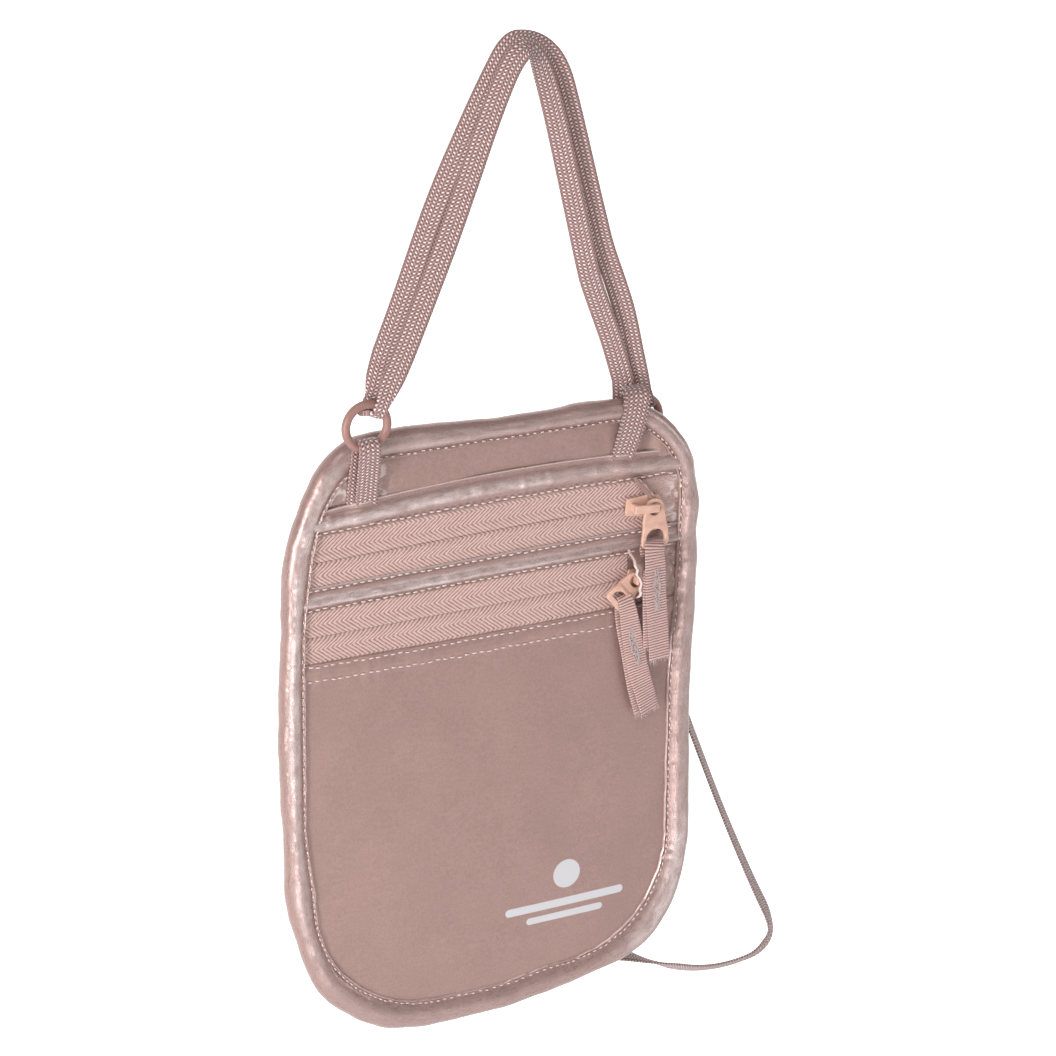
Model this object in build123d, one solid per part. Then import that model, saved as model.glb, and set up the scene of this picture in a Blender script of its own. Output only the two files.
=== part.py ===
from build123d import *
import math
import os

# Neck pouch wallet that hangs from its strap. Millimetres, +Z up, the front faces -Y.
# The model is built with X = 0 on the pouch's centre line, Y = 0 in its middle plane and
# Z = 0 at its bottom edge, and is then moved so that the hang point is the origin.

# Pouch outline
WIDTH = 136.0
HEIGHT = 190.0
TOP_CORNER = 33.0
BOTTOM_CORNER = 48.0

# Point under the top fold of the neck strap, where a hook or a neck holds the pouch
HANG_X = 11.0
HANG_Z = 297.0

# Layers through the pouch, from front (negative) to back
BINDING_FRONT = -2.4
BINDING_BACK = 2.6
BINDING_WIDTH = 7.6
BINDING_CLOTH = 0.4
BAND_Y = (-2.0, -1.5)
TAPE_Y = (-1.4, -0.9)
COIL_Y = (-0.9, 0.0)
DIVIDER_Y = (1.0, 1.3)
LINING_Y = (1.4, 1.7)
BACK_Y = (1.8, 2.2)
SHEET_INSET = 1.2
THREAD = 0.15
THREAD_WIDTH = 0.5

# Heights of the front's bands, from the bottom edge
TOP_BAND_Z = (162.2, 169.5)
MID_BAND_Z = (139.8, 147.4)
FRONT_PANEL_TOP = 124.3
UPPER_CHAIN_Z = 154.5
LOWER_CHAIN_Z = 132.0
TAPE_REACH = 11.0
TAPE_END_X = 55.7
CHAIN_GAP = 0.6
COIL_REACH = 2.4

# Zip sliders: place of each slider's middle when its zip is closed
UPPER_SLIDER_X = 48.4
LOWER_SLIDER_X = 49.3
SLIDER_LENGTH = 11.6
SLIDER_NOSE = 1.0
SLIDER_WIDE = 4.3
SLIDER_NARROW = 3.4
SLIDER_CORNER = 1.4
SLIDER_FRONT = -2.9
SLIDER_PLATE = 0.8
SLIDER_BACK = 0.8
RIM_INNER = 6.4
BRIDGE_LEG = 3.5
BRIDGE_WIDTH = 3.0
LEG_HALF = 0.8
GAP_FRONT = -5.1
BRIDGE_FRONT = -6.1

# Pullers: distances from the middle of the eye, down the plate
PULLER_EYE = 2.0
PULLER_LENGTH = 12.0
PULLER_HALF = 4.5
BAR_TOP = 10.2
BAR_MIDDLE = 11.1
BAR_Y = -4.6
EYE_PLATE_Y = (-4.7, -3.5)
WINDOW_PLATE_Y = (-5.2, -4.0)
LOWER_PULLER_TURN = 50.0

# Pull tabs of ribbed ribbon
RIBBON = 0.6
RIBBON_WIDTH = 8.2
RIBBON_NECK = 5.4
TAIL_LENGTH = 38.0
LOOP_RADIUS = 1.75
TACK_LENGTH = 11.0
TACK_HALF = 0.9
TACK_THICK = 0.25

# The lower tab's ribbon lies in the corner of its puller's window, and hangs almost straight
FOLD_ACROSS = 1.5
FOLD_DOWN = 8.8
FOLD_RADIUS = 1.0
LOWER_TAB_LEAN = -13.6

# Rings and webbing loops
RING_RADIUS = 6.5
RING_WIRE = 1.25
LEFT_RING = (-44.1, -6.6, 195.6)
RIGHT_RING = (52.0, 6.5, 178.9)
RIGHT_CONTACT = 128.0
WEBBING = 0.9
WEBBING_WIDTH = 8.2

# Neck strap, laid as a plain round tube along its middle line
STRAP_TUBE = 2.0
WRAP = 2.2
STRAP_ROUTE = [
    (-44.1, -6.8, 199.5),
    (-44.1, -9.2, 199.5, WRAP),
    (-37.0, -8.7, 205.8),
    (-25.1, -6.2, 230.1),
    (-12.8, -4.2, 257.1),
    (-2.6, -2.6, 281.5),
    (5.6, -1.7, 297.4),
    (11.6, -1.5, 297.6),
    (17.4, -1.2, 281.0),
    (25.1, 0.0, 251.0),
    (31.6, 1.2, 225.8),
    (38.0, 2.8, 206.3),
    (41.4, 3.9, 192.0),
    (42.6, 4.1, 183.0),
    (49.9, 4.0, 179.6, WRAP),
    (50.3, 9.2, 178.4, WRAP),
    (48.5, 9.6, 163.0),
    (40.0, 9.8, 132.0),
    (26.0, 9.8, 96.0),
    (14.0, 9.8, 62.0),
    (13.0, 9.8, 30.0),
    (27.0, 9.8, 10.0),
    (48.8, 9.8, 3.6),
    (64.0, 11.0, -4.0),
    (79.0, 13.5, -10.8),
    (94.0, 16.0, -13.4),
    (106.5, 17.5, -12.0),
    (110.8, 17.8, -4.5),
    (101.5, 16.2, 13.0),
    (87.0, 12.5, 43.0),
    (72.6, 9.8, 77.0),
    (60.5, 9.6, 108.0),
    (55.0, 9.6, 142.0),
    (53.3, 9.5, 168.0),
    (53.24, 9.1, 182.7, WRAP),
    (53.24, 3.9, 182.7, WRAP),
    (50.8, 3.9, 193.6),
    (46.0, 3.2, 212.6),
    (41.2, 2.8, 224.4),
    (36.3, 2.4, 235.6),
    (32.2, 2.0, 249.6),
    (24.4, 1.6, 279.0),
    (20.4, 1.5, 291.8),
    (13.2, 1.5, 299.4),
    (5.6, 1.5, 300.4),
    (-1.6, 1.1, 288.6),
    (-7.9, 0.6, 277.4),
    (-19.1, -0.6, 256.6),
    (-30.3, -2.2, 229.9),
    (-37.4, -3.2, 214.6),
    (-41.2, -4.0, 206.4),
    (-44.1, -4.0, 199.5, WRAP),
    (-44.1, -6.4, 199.5),
]


def outline(inset):
    """The pouch's rounded outline, drawn in by an inset, as a face in plan."""
    face = Pos(0, HEIGHT / 2) * Rectangle(WIDTH - 2 * inset, HEIGHT - 2 * inset)
    rows = face.vertices().group_by(Axis.Y)
    face = fillet(rows[-1], TOP_CORNER - inset)
    rows = face.vertices().group_by(Axis.Y)
    return fillet(rows[0], BOTTOM_CORNER - inset)


def slab(face, y_front, y_back):
    """A face drawn in X and Z, as a solid between two depths."""
    return extrude(Plane.XZ.offset(-y_back) * face, y_back - y_front, dir=(0, -1, 0))


def block(x_range, y_range, z_range):
    """A box between three pairs of limits."""
    size = [high - low for low, high in (x_range, y_range, z_range)]
    middle = [(high + low) / 2 for low, high in (x_range, y_range, z_range)]
    return Pos(*middle) * Box(*size)


def sheet(y_range, z_range=(0, HEIGHT), x_range=(-WIDTH, WIDTH), inset=SHEET_INSET):
    """A layer of cloth that fills the outline between two heights."""
    full = slab(outline(inset), *y_range)
    return full & block(x_range, (-10, 10), z_range)


def thread_row(z, reach, y_front):
    """A straight row of stitching across the front, as one flat line of thread."""
    half = THREAD_WIDTH / 2
    return block((-reach, reach), (y_front - THREAD, y_front), (z - half, z + half))


def ribbon(sections):
    """A flat strip through a list of cross-sections.

    Each one is (middle, across, width, thickness). Its faces are mitred between the runs.
    """
    points = [Vector(*s[0]) for s in sections]
    wires = []
    for i, (middle, across, width, thickness) in enumerate(sections):
        before = points[max(i - 1, 0)]
        after = points[min(i + 1, len(points) - 1)]
        run_in = (points[i] - before).normalized() if i else (after - points[i]).normalized()
        run_out = (after - points[i]).normalized() if i < len(points) - 1 else run_in
        tangent = (run_in + run_out).normalized()
        half_turn = math.radians(run_in.get_angle(run_out)) / 2
        side = Vector(*across).normalized()
        normal = side.cross(tangent).normalized()
        a = side * (width / 2)
        b = normal * (thickness / 2 / math.cos(half_turn))
        centre = points[i]
        corners = [centre + a + b, centre - a + b, centre - a - b, centre + a - b]
        wires.append(Wire.make_polygon(corners, close=True))
    return Solid.make_loft(wires, ruled=True)


def edge_binding():
    """The folded satin strip that wraps the raw edges all the way round."""
    body = slab(outline(0), BINDING_FRONT, BINDING_BACK)
    channel = slab(outline(0.6), BINDING_FRONT + BINDING_CLOTH, BINDING_BACK - BINDING_CLOTH)
    window = slab(outline(BINDING_WIDTH), BINDING_FRONT - 1, BINDING_BACK + 1)
    return body - channel - window


def binding_stitching():
    """One closed line of thread beside the binding's inner edge."""
    middle = BINDING_WIDTH - 1.2
    ring = outline(middle - THREAD_WIDTH / 2) - outline(middle + THREAD_WIDTH / 2)
    return slab(ring, BINDING_FRONT - THREAD, BINDING_FRONT)


def back_panel():
    """The rear sheet: its margin lies in the binding and its field stands level with it."""
    margin = slab(outline(SHEET_INSET), *BACK_Y)
    field = slab(outline(BINDING_WIDTH + 0.2), BACK_Y[1], BINDING_BACK)
    return margin + field


def zip_tape(chain_z, side):
    """Half of a zip's woven tape, above (+1) or below (-1) its chain."""
    near = chain_z + side * CHAIN_GAP
    far = chain_z + side * TAPE_REACH
    return sheet(TAPE_Y, (min(near, far), max(near, far)), (-WIDTH, TAPE_END_X))


def zip_coil(chain_z, side):
    """Half of a zip's nylon coil, sewn to the back of its tape."""
    near = chain_z + side * CHAIN_GAP
    far = chain_z + side * COIL_REACH
    return sheet(COIL_Y, (min(near, far), max(near, far)), (-WIDTH, TAPE_END_X), BINDING_WIDTH)


def slider(x, chain_z):
    """A coil-zip slider: two plates, their rims, the post between them and the bridge."""
    half = SLIDER_LENGTH / 2
    profile = [
        (-half, -SLIDER_NARROW), (SLIDER_NOSE, -SLIDER_WIDE), (half, -SLIDER_WIDE),
        (half, SLIDER_WIDE), (SLIDER_NOSE, SLIDER_WIDE), (-half, SLIDER_NARROW)]
    plate = Polygon(*profile, align=None)
    corners = plate.vertices().sort_by(Axis.X)
    plate = fillet(corners[:2] + corners[-2:], SLIDER_CORNER)
    rim = plate - Rectangle(3 * half, RIM_INNER)
    front_inner = SLIDER_FRONT + SLIDER_PLATE
    back_inner = SLIDER_BACK - SLIDER_PLATE + 0.2
    bridge_z = (-BRIDGE_WIDTH / 2, BRIDGE_WIDTH / 2)
    reach = BRIDGE_LEG + LEG_HALF
    bar = block((-reach, reach), (BRIDGE_FRONT, GAP_FRONT), bridge_z)
    rounded = bar.edges().filter_by(Axis.Z) + bar.edges().filter_by(Axis.X)
    body = fillet(rounded.group_by(Axis.Y)[0], 0.6)
    body += slab(plate, SLIDER_FRONT, front_inner) + slab(rim, front_inner, TAPE_Y[0] - 0.3)
    body += slab(plate, back_inner, SLIDER_BACK) + slab(rim, TAPE_Y[1] + 0.3, back_inner)
    body += block((3.0, 5.2), (front_inner, back_inner), (-0.5, 0.5))
    for x_leg in (-BRIDGE_LEG, BRIDGE_LEG):
        body += block((x_leg - LEG_HALF, x_leg + LEG_HALF), (GAP_FRONT, SLIDER_FRONT), bridge_z)
    return Pos(x, 0, chain_z) * body


def puller():
    """A cast puller plate that hangs from its eye, with a window for the ribbon."""
    eye = Circle(3.2)
    neck = Polygon((-3.1, -0.8), (3.1, -0.8), (3.9, -5.6), (-3.9, -5.6), align=None)
    upper = eye + neck - Circle(PULLER_EYE)
    plate = Polygon(
        (-3.75, -4.6), (3.75, -4.6), (PULLER_HALF, -9.2), (PULLER_HALF, -PULLER_LENGTH),
        (-PULLER_HALF, -PULLER_LENGTH), (-PULLER_HALF, -9.2), align=None)
    plate = fillet(plate.vertices().sort_by(Axis.Y)[0:2], 1.8)
    window = Pos(0, -9.4) * Circle(3.0) + Pos(0, -9.8) * Rectangle(6.0, 0.8)
    window &= Pos(0, -BAR_TOP + 5) * Rectangle(8, 10)
    plate -= window
    return slab(upper, *EYE_PLATE_Y) + slab(plate, *WINDOW_PLATE_Y)


def placed_puller(x, chain_z, turn):
    """A puller at its pivot, turned about the depth axis."""
    return Pos(x, 0, chain_z) * Rot(0, turn, 0) * puller()


def upper_pull_tab():
    """Doubled ribbon looped round the puller's bar; its tails stand off and hang straight."""
    x_dir = (1, 0, 0)
    bar_z = -BAR_MIDDLE
    tip = bar_z - TAIL_LENGTH
    shoulder = [(0, -7.95, bar_z - 7.2), (0, BAR_Y - LOOP_RADIUS - 0.1, bar_z - 1.0)]
    front = [(0, -7.95, tip)] + shoulder
    back = [(0, -2.95, bar_z - 1.6), (0, -7.2, bar_z - 7.4), (0, -7.2, tip)]
    loop = []
    for step in range(7):
        angle = math.radians(180 - 30 * step)
        y = BAR_Y + LOOP_RADIUS * math.cos(angle)
        loop.append((0, y, bar_z + LOOP_RADIUS * math.sin(angle)))
    neck_sections = len(loop) + 2
    widths = 2 * [RIBBON_WIDTH] + neck_sections * [RIBBON_NECK] + 2 * [RIBBON_WIDTH]
    points = front + loop + back
    return ribbon([(p, x_dir, w, RIBBON) for p, w in zip(points, widths)])


def lower_pull_tab():
    """Doubled ribbon whose two sides lie in front of and behind the puller, joined in its window."""
    x_dir = (1, 0, 0)
    front = [(0, -5.6, 2.0), (0, -5.6, -8.0), (0, -5.6, -TAIL_LENGTH)]
    back = [(0, -3.6, 2.0), (0, -3.6, -5.6), (0, -4.85, -8.4), (0, -4.85, -TAIL_LENGTH)]
    front_widths = (4.4, RIBBON_WIDTH, RIBBON_WIDTH)
    back_widths = (4.4, 6.6, RIBBON_WIDTH, RIBBON_WIDTH)
    front_side = ribbon([(p, x_dir, w, RIBBON) for p, w in zip(front, front_widths)])
    back_side = ribbon([(p, x_dir, w, RIBBON) for p, w in zip(back, back_widths)])
    fold = slab(Circle(FOLD_RADIUS), -5.4, -3.8)
    return front_side + back_side + fold


def tack(y_front, z_top):
    """The bar of tack stitches down the middle of a pull tab."""
    z_range = (z_top - TACK_LENGTH, z_top)
    return block((-TACK_HALF, TACK_HALF), (y_front - TACK_THICK, y_front), z_range)


def ring(centre):
    """A moulded ring that stands across the depth axis."""
    return Pos(*centre) * Rot(90, 0, 0) * Torus(RING_RADIUS, RING_WIRE)


def arc_sections(centre, radius, start, end, steps, across, width, turn_plane):
    """Cross-sections round part of a ring's wire, in the plane of two given directions."""
    first, second = turn_plane
    sections = []
    for step in range(steps + 1):
        angle = math.radians(start + (end - start) * step / steps)
        offset = Vector(*first) * (radius * math.cos(angle))
        offset += Vector(*second) * (radius * math.sin(angle))
        sections.append((tuple(Vector(*centre) + offset), across, width, WEBBING))
    return sections


def left_webbing_loop():
    """Webbing sewn under the top band: up, over the left ring's lowest wire and down again."""
    wire = (LEFT_RING[0], LEFT_RING[1], LEFT_RING[2] - RING_RADIUS)
    across = (1, 0, 0)
    front_foot = ((-41.5, -3.6, TOP_BAND_Z[1]), across, WEBBING_WIDTH, WEBBING)
    back_foot = ((-43.8, -2.6, TOP_BAND_Z[1]), across, WEBBING_WIDTH, WEBBING)
    bend = arc_sections(wire, 3.25, 180, 0, 6, across, 6.4, ((0, 1, 0), (0, 0, 1)))
    return ribbon([front_foot] + bend + [back_foot])


def right_webbing_loop():
    """Webbing sewn under the top band, laid double over the top edge to the ring behind it."""
    contact = math.radians(RIGHT_CONTACT)
    across = (math.sin(contact), 0, -math.cos(contact))
    wire = (
        RIGHT_RING[0] + RING_RADIUS * math.cos(contact),
        RIGHT_RING[1],
        RIGHT_RING[2] + RING_RADIUS * math.sin(contact),
    )
    level = (1, 0, 0)
    lean = (0.95, 0, -0.31)
    outer = [
        ((40.8, -4.2, TOP_BAND_Z[1]), level, WEBBING_WIDTH, WEBBING),
        ((45.2, -4.2, 188.3), lean, WEBBING_WIDTH, WEBBING),
        ((45.8, -3.1, 190.7), lean, 7.6, WEBBING),
        ((46.8, 3.4, 190.6), lean, 6.4, WEBBING),
    ]
    inner = [
        ((46.8, 3.7, 187.2), lean, 6.0, WEBBING),
        ((46.3, 2.7, 189.5), lean, 6.4, WEBBING),
        ((45.6, -2.4, 189.5), lean, 7.6, WEBBING),
        ((45.1, -3.2, 187.7), lean, WEBBING_WIDTH, WEBBING),
        ((40.8, -3.2, TOP_BAND_Z[1]), level, WEBBING_WIDTH, WEBBING),
    ]
    outward = (-across[2], 0, across[0])
    bend = arc_sections(wire, 2.45, 55, -125, 6, across, 5.0, ((0, 1, 0), outward))
    return ribbon(outer + bend + inner)


def strap_path():
    """Straight runs joined by arcs, each as large as its two runs allow."""
    points = [Vector(*p[:3]) for p in STRAP_ROUTE]
    radii = []
    for i in range(1, len(points) - 1):
        run_in = points[i] - points[i - 1]
        run_out = points[i + 1] - points[i]
        turn = math.radians(run_in.get_angle(run_out))
        radius = 0.45 * min(run_in.length, run_out.length) / math.tan(turn / 2)
        if len(STRAP_ROUTE[i]) == 4:
            radius = STRAP_ROUTE[i][3]
        radii.append(radius)
    print("strap arc radii:", [round(r, 1) for r in radii])
    return FilletPolyline(*points, radius=radii)


def neck_strap():
    """The strap's tube, with its length and volume printed as a check on the sweep."""
    path = strap_path()
    start = Plane(origin=path @ 0, z_dir=path % 0)
    tube = sweep(start * Circle(STRAP_TUBE / 2), path=path)
    section = math.pi * (STRAP_TUBE / 2) ** 2
    ratio = tube.volume / (section * path.length)
    print("strap length:", round(path.length, 1), "volume ratio:", round(ratio, 4))
    return tube


upper_pivot_x = UPPER_SLIDER_X + BRIDGE_LEG
lower_pivot_x = LOWER_SLIDER_X - BRIDGE_LEG
lower_turn = math.radians(LOWER_PULLER_TURN)

turn_cos = math.cos(lower_turn)
turn_sin = math.sin(lower_turn)
lower_fold_x = lower_pivot_x + FOLD_ACROSS * turn_cos - FOLD_DOWN * turn_sin
lower_fold_z = LOWER_CHAIN_Z - FOLD_ACROSS * turn_sin - FOLD_DOWN * turn_cos
lower_tab_place = Pos(lower_fold_x, 0, lower_fold_z) * Rot(0, LOWER_TAB_LEAN, 0)
upper_tab_place = Pos(upper_pivot_x, 0, UPPER_CHAIN_Z)

band_reach = WIDTH / 2 - BINDING_WIDTH - 0.4
front_y = BAND_Y[0]
zip_end_z = (LOWER_CHAIN_Z - TAPE_REACH, UPPER_CHAIN_Z + TAPE_REACH)
mid_rows = (MID_BAND_Z[0] + 1.0, MID_BAND_Z[1] - 1.0)
panel_rows = (FRONT_PANEL_TOP - 1.0, FRONT_PANEL_TOP - 5.4)

parts = {
    "back_panel": back_panel(),
    "back_lining": sheet(LINING_Y),
    "pocket_divider": sheet(DIVIDER_Y, (0, MID_BAND_Z[1])),
    "top_panel": sheet(TAPE_Y, (UPPER_CHAIN_Z + TAPE_REACH + 0.3, HEIGHT)),
    "top_band": sheet(BAND_Y, TOP_BAND_Z),
    "mid_band": sheet(BAND_Y, MID_BAND_Z),
    "front_panel": sheet(BAND_Y, (0, FRONT_PANEL_TOP)),
    "edge_binding": edge_binding(),
    "zip_end_lining": sheet(TAPE_Y, zip_end_z, (TAPE_END_X + 0.3, WIDTH)),
    "upper_zip_upper_tape": zip_tape(UPPER_CHAIN_Z, 1),
    "upper_zip_lower_tape": zip_tape(UPPER_CHAIN_Z, -1),
    "lower_zip_upper_tape": zip_tape(LOWER_CHAIN_Z, 1),
    "lower_zip_lower_tape": zip_tape(LOWER_CHAIN_Z, -1),
    "upper_zip_upper_coil": zip_coil(UPPER_CHAIN_Z, 1),
    "upper_zip_lower_coil": zip_coil(UPPER_CHAIN_Z, -1),
    "lower_zip_upper_coil": zip_coil(LOWER_CHAIN_Z, 1),
    "lower_zip_lower_coil": zip_coil(LOWER_CHAIN_Z, -1),
    "binding_stitching": binding_stitching(),
    "top_band_stitching": thread_row(TOP_BAND_Z[0] + 1.2, band_reach - 1.6, front_y),
    "mid_band_stitching": Compound(children=[thread_row(z, band_reach, front_y) for z in mid_rows]),
    "front_panel_stitching": Compound(children=[thread_row(z, band_reach, front_y) for z in panel_rows]),
    "webbing_loop_left": left_webbing_loop(),
    "webbing_loop_right": right_webbing_loop(),
    "ring_left": ring(LEFT_RING),
    "ring_right": ring(RIGHT_RING),
    "upper_slider": slider(UPPER_SLIDER_X, UPPER_CHAIN_Z),
    "lower_slider": slider(LOWER_SLIDER_X, LOWER_CHAIN_Z),
    "upper_puller": placed_puller(upper_pivot_x, UPPER_CHAIN_Z, 0),
    "lower_puller": placed_puller(lower_pivot_x, LOWER_CHAIN_Z, LOWER_PULLER_TURN),
    "upper_pull_tab": upper_tab_place * upper_pull_tab(),
    "lower_pull_tab": lower_tab_place * lower_pull_tab(),
    "upper_tab_tack": upper_tab_place * tack(-8.25, -24.0),
    "lower_tab_tack": lower_tab_place * tack(-5.9, -12.0),
    "neck_strap": neck_strap(),
}

os.makedirs("parts", exist_ok=True)
for name, part in parts.items():
    part = Pos(-HANG_X, 0, -HANG_Z) * part
    part.label = name
    export_step(part, f"parts/{name}.step")

print("upper pivot", upper_pivot_x - HANG_X, UPPER_CHAIN_Z - HANG_Z)
print("upper bar", UPPER_CHAIN_Z - BAR_MIDDLE - HANG_Z)
print("lower pivot", lower_pivot_x - HANG_X, LOWER_CHAIN_Z - HANG_Z)
print("lower fold", round(lower_fold_x - HANG_X, 3), round(lower_fold_z - HANG_Z, 3))
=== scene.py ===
import math

import bmesh
import bpy
import numpy as np
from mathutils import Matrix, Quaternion, Vector


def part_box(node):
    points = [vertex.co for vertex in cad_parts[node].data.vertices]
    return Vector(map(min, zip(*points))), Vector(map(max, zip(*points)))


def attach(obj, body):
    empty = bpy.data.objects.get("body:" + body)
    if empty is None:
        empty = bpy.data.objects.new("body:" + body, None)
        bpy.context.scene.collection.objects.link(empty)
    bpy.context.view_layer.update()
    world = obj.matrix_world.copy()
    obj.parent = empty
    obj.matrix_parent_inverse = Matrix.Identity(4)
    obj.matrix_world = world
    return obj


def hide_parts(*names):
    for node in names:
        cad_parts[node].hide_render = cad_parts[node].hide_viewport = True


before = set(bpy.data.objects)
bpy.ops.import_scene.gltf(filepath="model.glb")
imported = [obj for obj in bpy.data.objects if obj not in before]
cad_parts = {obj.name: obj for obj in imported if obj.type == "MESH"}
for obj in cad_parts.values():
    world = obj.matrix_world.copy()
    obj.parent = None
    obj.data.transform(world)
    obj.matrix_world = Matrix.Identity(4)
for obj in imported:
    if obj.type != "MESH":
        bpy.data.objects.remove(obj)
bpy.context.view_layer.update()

# Everything below is in millimetres in the pouch's own coordinates: x from its centre line,
# y from its middle plane with the front at -y, and z from its bottom edge.
MM = 0.001
binding_low, binding_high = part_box("edge_binding")
ORIGIN = np.array([(binding_low.x + binding_high.x) / 2, 0.0, binding_low.z])
HALF_WIDTH = (binding_high.x - binding_low.x) / 2 / MM
HEIGHT = (binding_high.z - binding_low.z) / MM
TOP_CORNER = 33.0
BOTTOM_CORNER = 48.0
BINDING_WIDTH = 7.6
CLOTH_INSET = 4.4
STITCH_STEP = 2.4


def node_box(node):
    """The lowest and highest corner of a CAD node, in the pouch's millimetres."""
    low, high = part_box(node)
    return (np.array(low) - ORIGIN) / MM, (np.array(high) - ORIGIN) / MM


def node_heights(node):
    """The bottom and top of a CAD node."""
    low, high = node_box(node)
    return low[2], high[2]


TOP_BAND = node_heights("top_band")
MID_BAND = node_heights("mid_band")
PANEL_TOP = node_heights("front_panel")[1]
UPPER_CHAIN = sum(node_heights("upper_slider")) / 2
LOWER_CHAIN = sum(node_heights("lower_slider")) / 2

# Heights of the rows of stitches, and how far from the centre line the front and its rows reach
HEM_ROWS = [PANEL_TOP - 1.0, PANEL_TOP - 5.4]
BAND_ROW_INSET = 0.9
TOP_BAND_ROWS = [TOP_BAND[0] + BAND_ROW_INSET]
MID_BAND_ROWS = [MID_BAND[0] + BAND_ROW_INSET, MID_BAND[1] - BAND_ROW_INSET]
FRONT_REACH = 61.0
ROW_REACH = 60.0
TOP_ROW_REACH = 59.5

# Depths of the layers on the front
PANEL_BACK_Y = -1.45
BAND_FRONT_Y = -1.5
BAND_BACK_Y = -1.47
BAND_THREAD_Y = -2.05
BINDING_THREAD_Y = -2.62
TAPE_FRONT_Y = -1.42
TAPE_BACK_Y = -0.92


# ---------------------------------------------------------------- shapes shared by all pieces

def smooth(t):
    """0 to 1 with level ends."""
    t = np.clip(t, 0.0, 1.0)
    return t * t * (3 - 2 * t)


def bump_at(distance, width):
    """A smooth hump, 1 at no distance and 0 past its width."""
    return 1 - smooth(np.abs(distance) / width)


def quarter_round(share, low=0.0):
    """How far a rounded edge has risen at a share of its radius."""
    return np.sqrt(np.clip(1 - (1 - np.clip(share, 0, 1)) ** 2, low, 1))


def unit(vectors):
    """Vectors brought to a length of 1."""
    return vectors / np.linalg.norm(vectors, axis=-1, keepdims=True)


def distances(points):
    """How far along a line each of its points lies."""
    return np.concatenate([[0], np.cumsum(np.linalg.norm(np.diff(points, axis=0), axis=1))])


class Noise:
    """Smooth seeded noise over two coordinates, which may repeat after a whole number of cells."""

    def __init__(self, seed):
        self.grid = np.random.default_rng(seed).uniform(-1, 1, (256, 256))

    def __call__(self, u, v, period=256):
        u, v = np.broadcast_arrays(np.asarray(u, float), np.asarray(v, float))
        iu, iv = np.floor(u).astype(int), np.floor(v).astype(int)
        fu, fv = smooth(u - iu), smooth(v - iv)
        a, b = iu % period % 256, (iu + 1) % period % 256
        c, d = iv % 256, (iv + 1) % 256
        low = self.grid[a, c] * (1 - fu) + self.grid[b, c] * fu
        high = self.grid[a, d] * (1 - fu) + self.grid[b, d] * fu
        return low * (1 - fv) + high * fv


def corner_reach(z, inset):
    """Half the pouch's width at a height, drawn in by an inset."""
    z = np.asarray(z, float)
    reach = np.full(z.shape, HALF_WIDTH - inset)
    for radius, depth in ((TOP_CORNER, z - (HEIGHT - TOP_CORNER)), (BOTTOM_CORNER, BOTTOM_CORNER - z)):
        inner = radius - inset
        inside = np.sqrt(np.clip(inner * inner - depth * depth, 0, None))
        reach = np.where(depth > 0, HALF_WIDTH - radius + inside, reach)
    return reach


def outline(count):
    """Points round the pouch's edge with their outward normals and distances along it."""
    half = HALF_WIDTH
    low, high = BOTTOM_CORNER, TOP_CORNER
    side, top = HEIGHT - low - high, 2 * (half - high)
    runs = [
        ("line", (0, 0), (1, 0), half - low),
        ("arc", (half - low, low), low, -90),
        ("line", (half, low), (0, 1), side),
        ("arc", (half - high, HEIGHT - high), high, 0),
        ("line", (half - high, HEIGHT), (-1, 0), top),
        ("arc", (high - half, HEIGHT - high), high, 90),
        ("line", (-half, HEIGHT - high), (0, -1), side),
        ("arc", (low - half, low), low, 180),
        ("line", (low - half, 0), (1, 0), half - low),
    ]
    lengths = [r[3] if r[0] == "line" else r[2] * math.pi / 2 for r in runs]
    total = sum(lengths)
    points, normals, along = [], [], []
    for step in range(count):
        s = total * step / count
        along.append(s)
        for run, length in zip(runs, lengths):
            if s <= length:
                break
            s -= length
        if run[0] == "line":
            _, start, direction, _ = run
            points.append((start[0] + direction[0] * s, start[1] + direction[1] * s))
            normals.append((direction[1], -direction[0]))
        else:
            _, centre, radius, turn = run
            angle = math.radians(turn) + s / radius
            normals.append((math.cos(angle), math.sin(angle)))
            points.append((centre[0] + radius * normals[-1][0], centre[1] + radius * normals[-1][1]))
    return np.array(points), np.array(normals), np.array(along), total


# How the soft pouch departs from its cut outline: where its edge, and the binding's inner edge on
# the front, are fuller or drawn in. Each key is (distance round from the bottom's middle, outward),
# and a line holds one corner with the side before it, starting with the bottom and its right corner.
EDGE_SET = [
    (0, 0.5), (30, -2.5), (60, 2.0), (90, -0.5),
    (140, -1.0), (185, 0.5), (240, -1.0),
    (280, -1.0), (340, 1.5), (365, -2.5),
    (390, 0.0), (430, 1.5), (480, 0.0), (500, -2.0), (525, 0.0), (565, 1.0),
]
INNER_SET = [
    (0, -1.5), (20, -4.0), (60, -2.5),
    (140, -2.5), (185, 0.0), (210, 0.5), (240, 0.0),
    (310, 0.5), (335, 0.5), (370, -2.0),
    (405, 1.5), (460, 1.5), (490, -1.5), (540, -2.0),
]


def eased(place, keys, total):
    """A smooth value between keys laid round a closed line."""
    places = np.array([k[0] for k in keys] + [total])
    values = np.array([k[1] for k in keys] + [keys[0][1]])
    place = np.asarray(place, float) % total
    right = np.clip(np.searchsorted(places, place, side="right"), 1, len(places) - 1)
    share = (place - places[right - 1]) / (places[right] - places[right - 1])
    return values[right - 1] + smooth(share) * (values[right] - values[right - 1])


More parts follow.
